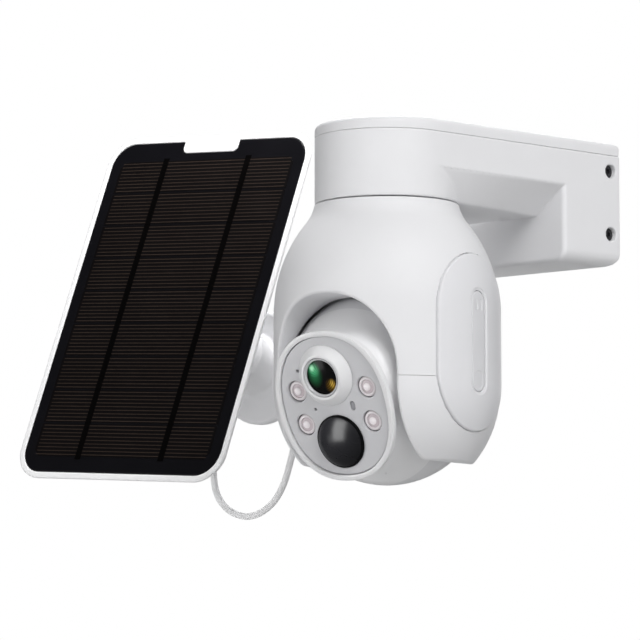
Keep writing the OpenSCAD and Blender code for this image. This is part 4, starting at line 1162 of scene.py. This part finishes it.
base = skin("wall_foot", base_field, (BASE.x - BASE_R - 2, -30, BASE.z - BASE_R - 2),
            (BASE.x + BASE_R + 2, 1.5, BASE.z + BASE_R + 2), 0.5)
stand_in(base, "white_plastic", "bracket", "solar_base")

# ---------- stage, light and view -------------------

FLOOR_Z = low("solar_cable").z * MM - 0.6
floor = slab("floor", (8000, 8000, 2), (0, 0, FLOOR_Z / MM))


def camera_sees(made, seen, unseen, output):
    """The camera sees one shader, and every other ray meets the other."""
    nodes, links = made.node_tree.nodes, made.node_tree.links
    path = nodes.new("ShaderNodeLightPath")
    choose = nodes.new("ShaderNodeMixShader")
    links.new(path.outputs["Is Camera Ray"], choose.inputs["Fac"])
    links.new(unseen.outputs[0], choose.inputs[1])
    links.new(seen.outputs[0], choose.inputs[2])
    links.new(choose.outputs["Shader"], nodes[output].inputs["Surface"])


# The floor lights the object as a plain matt surface, and the camera sees it evenly pale
floor_look = bpy.data.materials.new("floor_white")
floor_look.use_nodes = True
matt = floor_look.node_tree.nodes["Principled BSDF"]
matt.inputs["Base Color"].default_value = (0.8, 0.8, 0.8, 1)
matt.inputs["Roughness"].default_value = 0.8
pale = floor_look.node_tree.nodes.new("ShaderNodeEmission")
pale.inputs["Color"].default_value = (0.86, 0.86, 0.87, 1)
camera_sees(floor_look, pale, matt, "Material Output")
floor.data.materials.append(floor_look)

# The camera sees a white background, and the object has a faint even light from all round
AMBIENT = 0.05
world = bpy.data.worlds.new("studio")
bpy.context.scene.world = world
world.use_nodes = True
ambient = world.node_tree.nodes["Background"]
ambient.inputs["Color"].default_value = (0.97, 0.98, 1, 1)
ambient.inputs["Strength"].default_value = AMBIENT
white = world.node_tree.nodes.new("ShaderNodeBackground")
white.inputs["Color"].default_value = (1, 1, 1, 1)
white.inputs["Strength"].default_value = 1
camera_sees(world, white, ambient, "World Output")

MIDDLE = (-0.07, -0.09, -0.07)


def lamp(name, direction, away, size, power, aim=MIDDLE, tall=1.0):
    """A soft light that looks at a point from a direction, this many metres away and across.

    It is a square, or made taller, and its power is in watts."""
    light = bpy.data.lights.new(name, "AREA")
    light.shape = "RECTANGLE"
    light.size = size
    light.size_y = size * tall
    light.energy = power
    thing = bpy.data.objects.new(name, light)
    bpy.context.scene.collection.objects.link(thing)
    direction = Vector(direction).normalized()
    thing.location = Vector(aim) + direction * away
    thing.rotation_euler = direction.to_track_quat("Z", "Y").to_euler()
    return thing


lamp("key", (1.0, -0.5, 1.0), 2.0, 1.0, 20.5)
lamp("side", (1.0, -0.35, 0.25), 2.0, 1.2, 13.5)
lamp("left", (-0.7, -1.0, -0.3), 2.0, 0.8, 17.5)
lamp("front", (0.45, -1.0, 0.45), 1.6, 0.7, 2.2)
lamp("back", (0.2, 1.0, 0.9), 2.2, 1.2, 2.5)
lamp("rear", (-0.5, 1.0, 0.15), 2.2, 1.2, 8.0)
# this one lights the sensor dome alone, for its tall soft highlight
sheen = lamp("dome_sheen", (-0.13, -0.98, 0.20), 1.2, 0.9, 190, aim=tuple(dome_place.translation * MM),
             tall=1.6)
sheen.light_linking.receiver_collection = bpy.data.collections.new("dome_only")
sheen.light_linking.receiver_collection.objects.link(dome)
lamp("wall_foot", (0.22, -0.1, 1.0), 0.32, 0.12, 1.0, aim=(-0.187, -0.02, -0.067))

bpy.context.scene.view_settings.view_transform = "Standard"
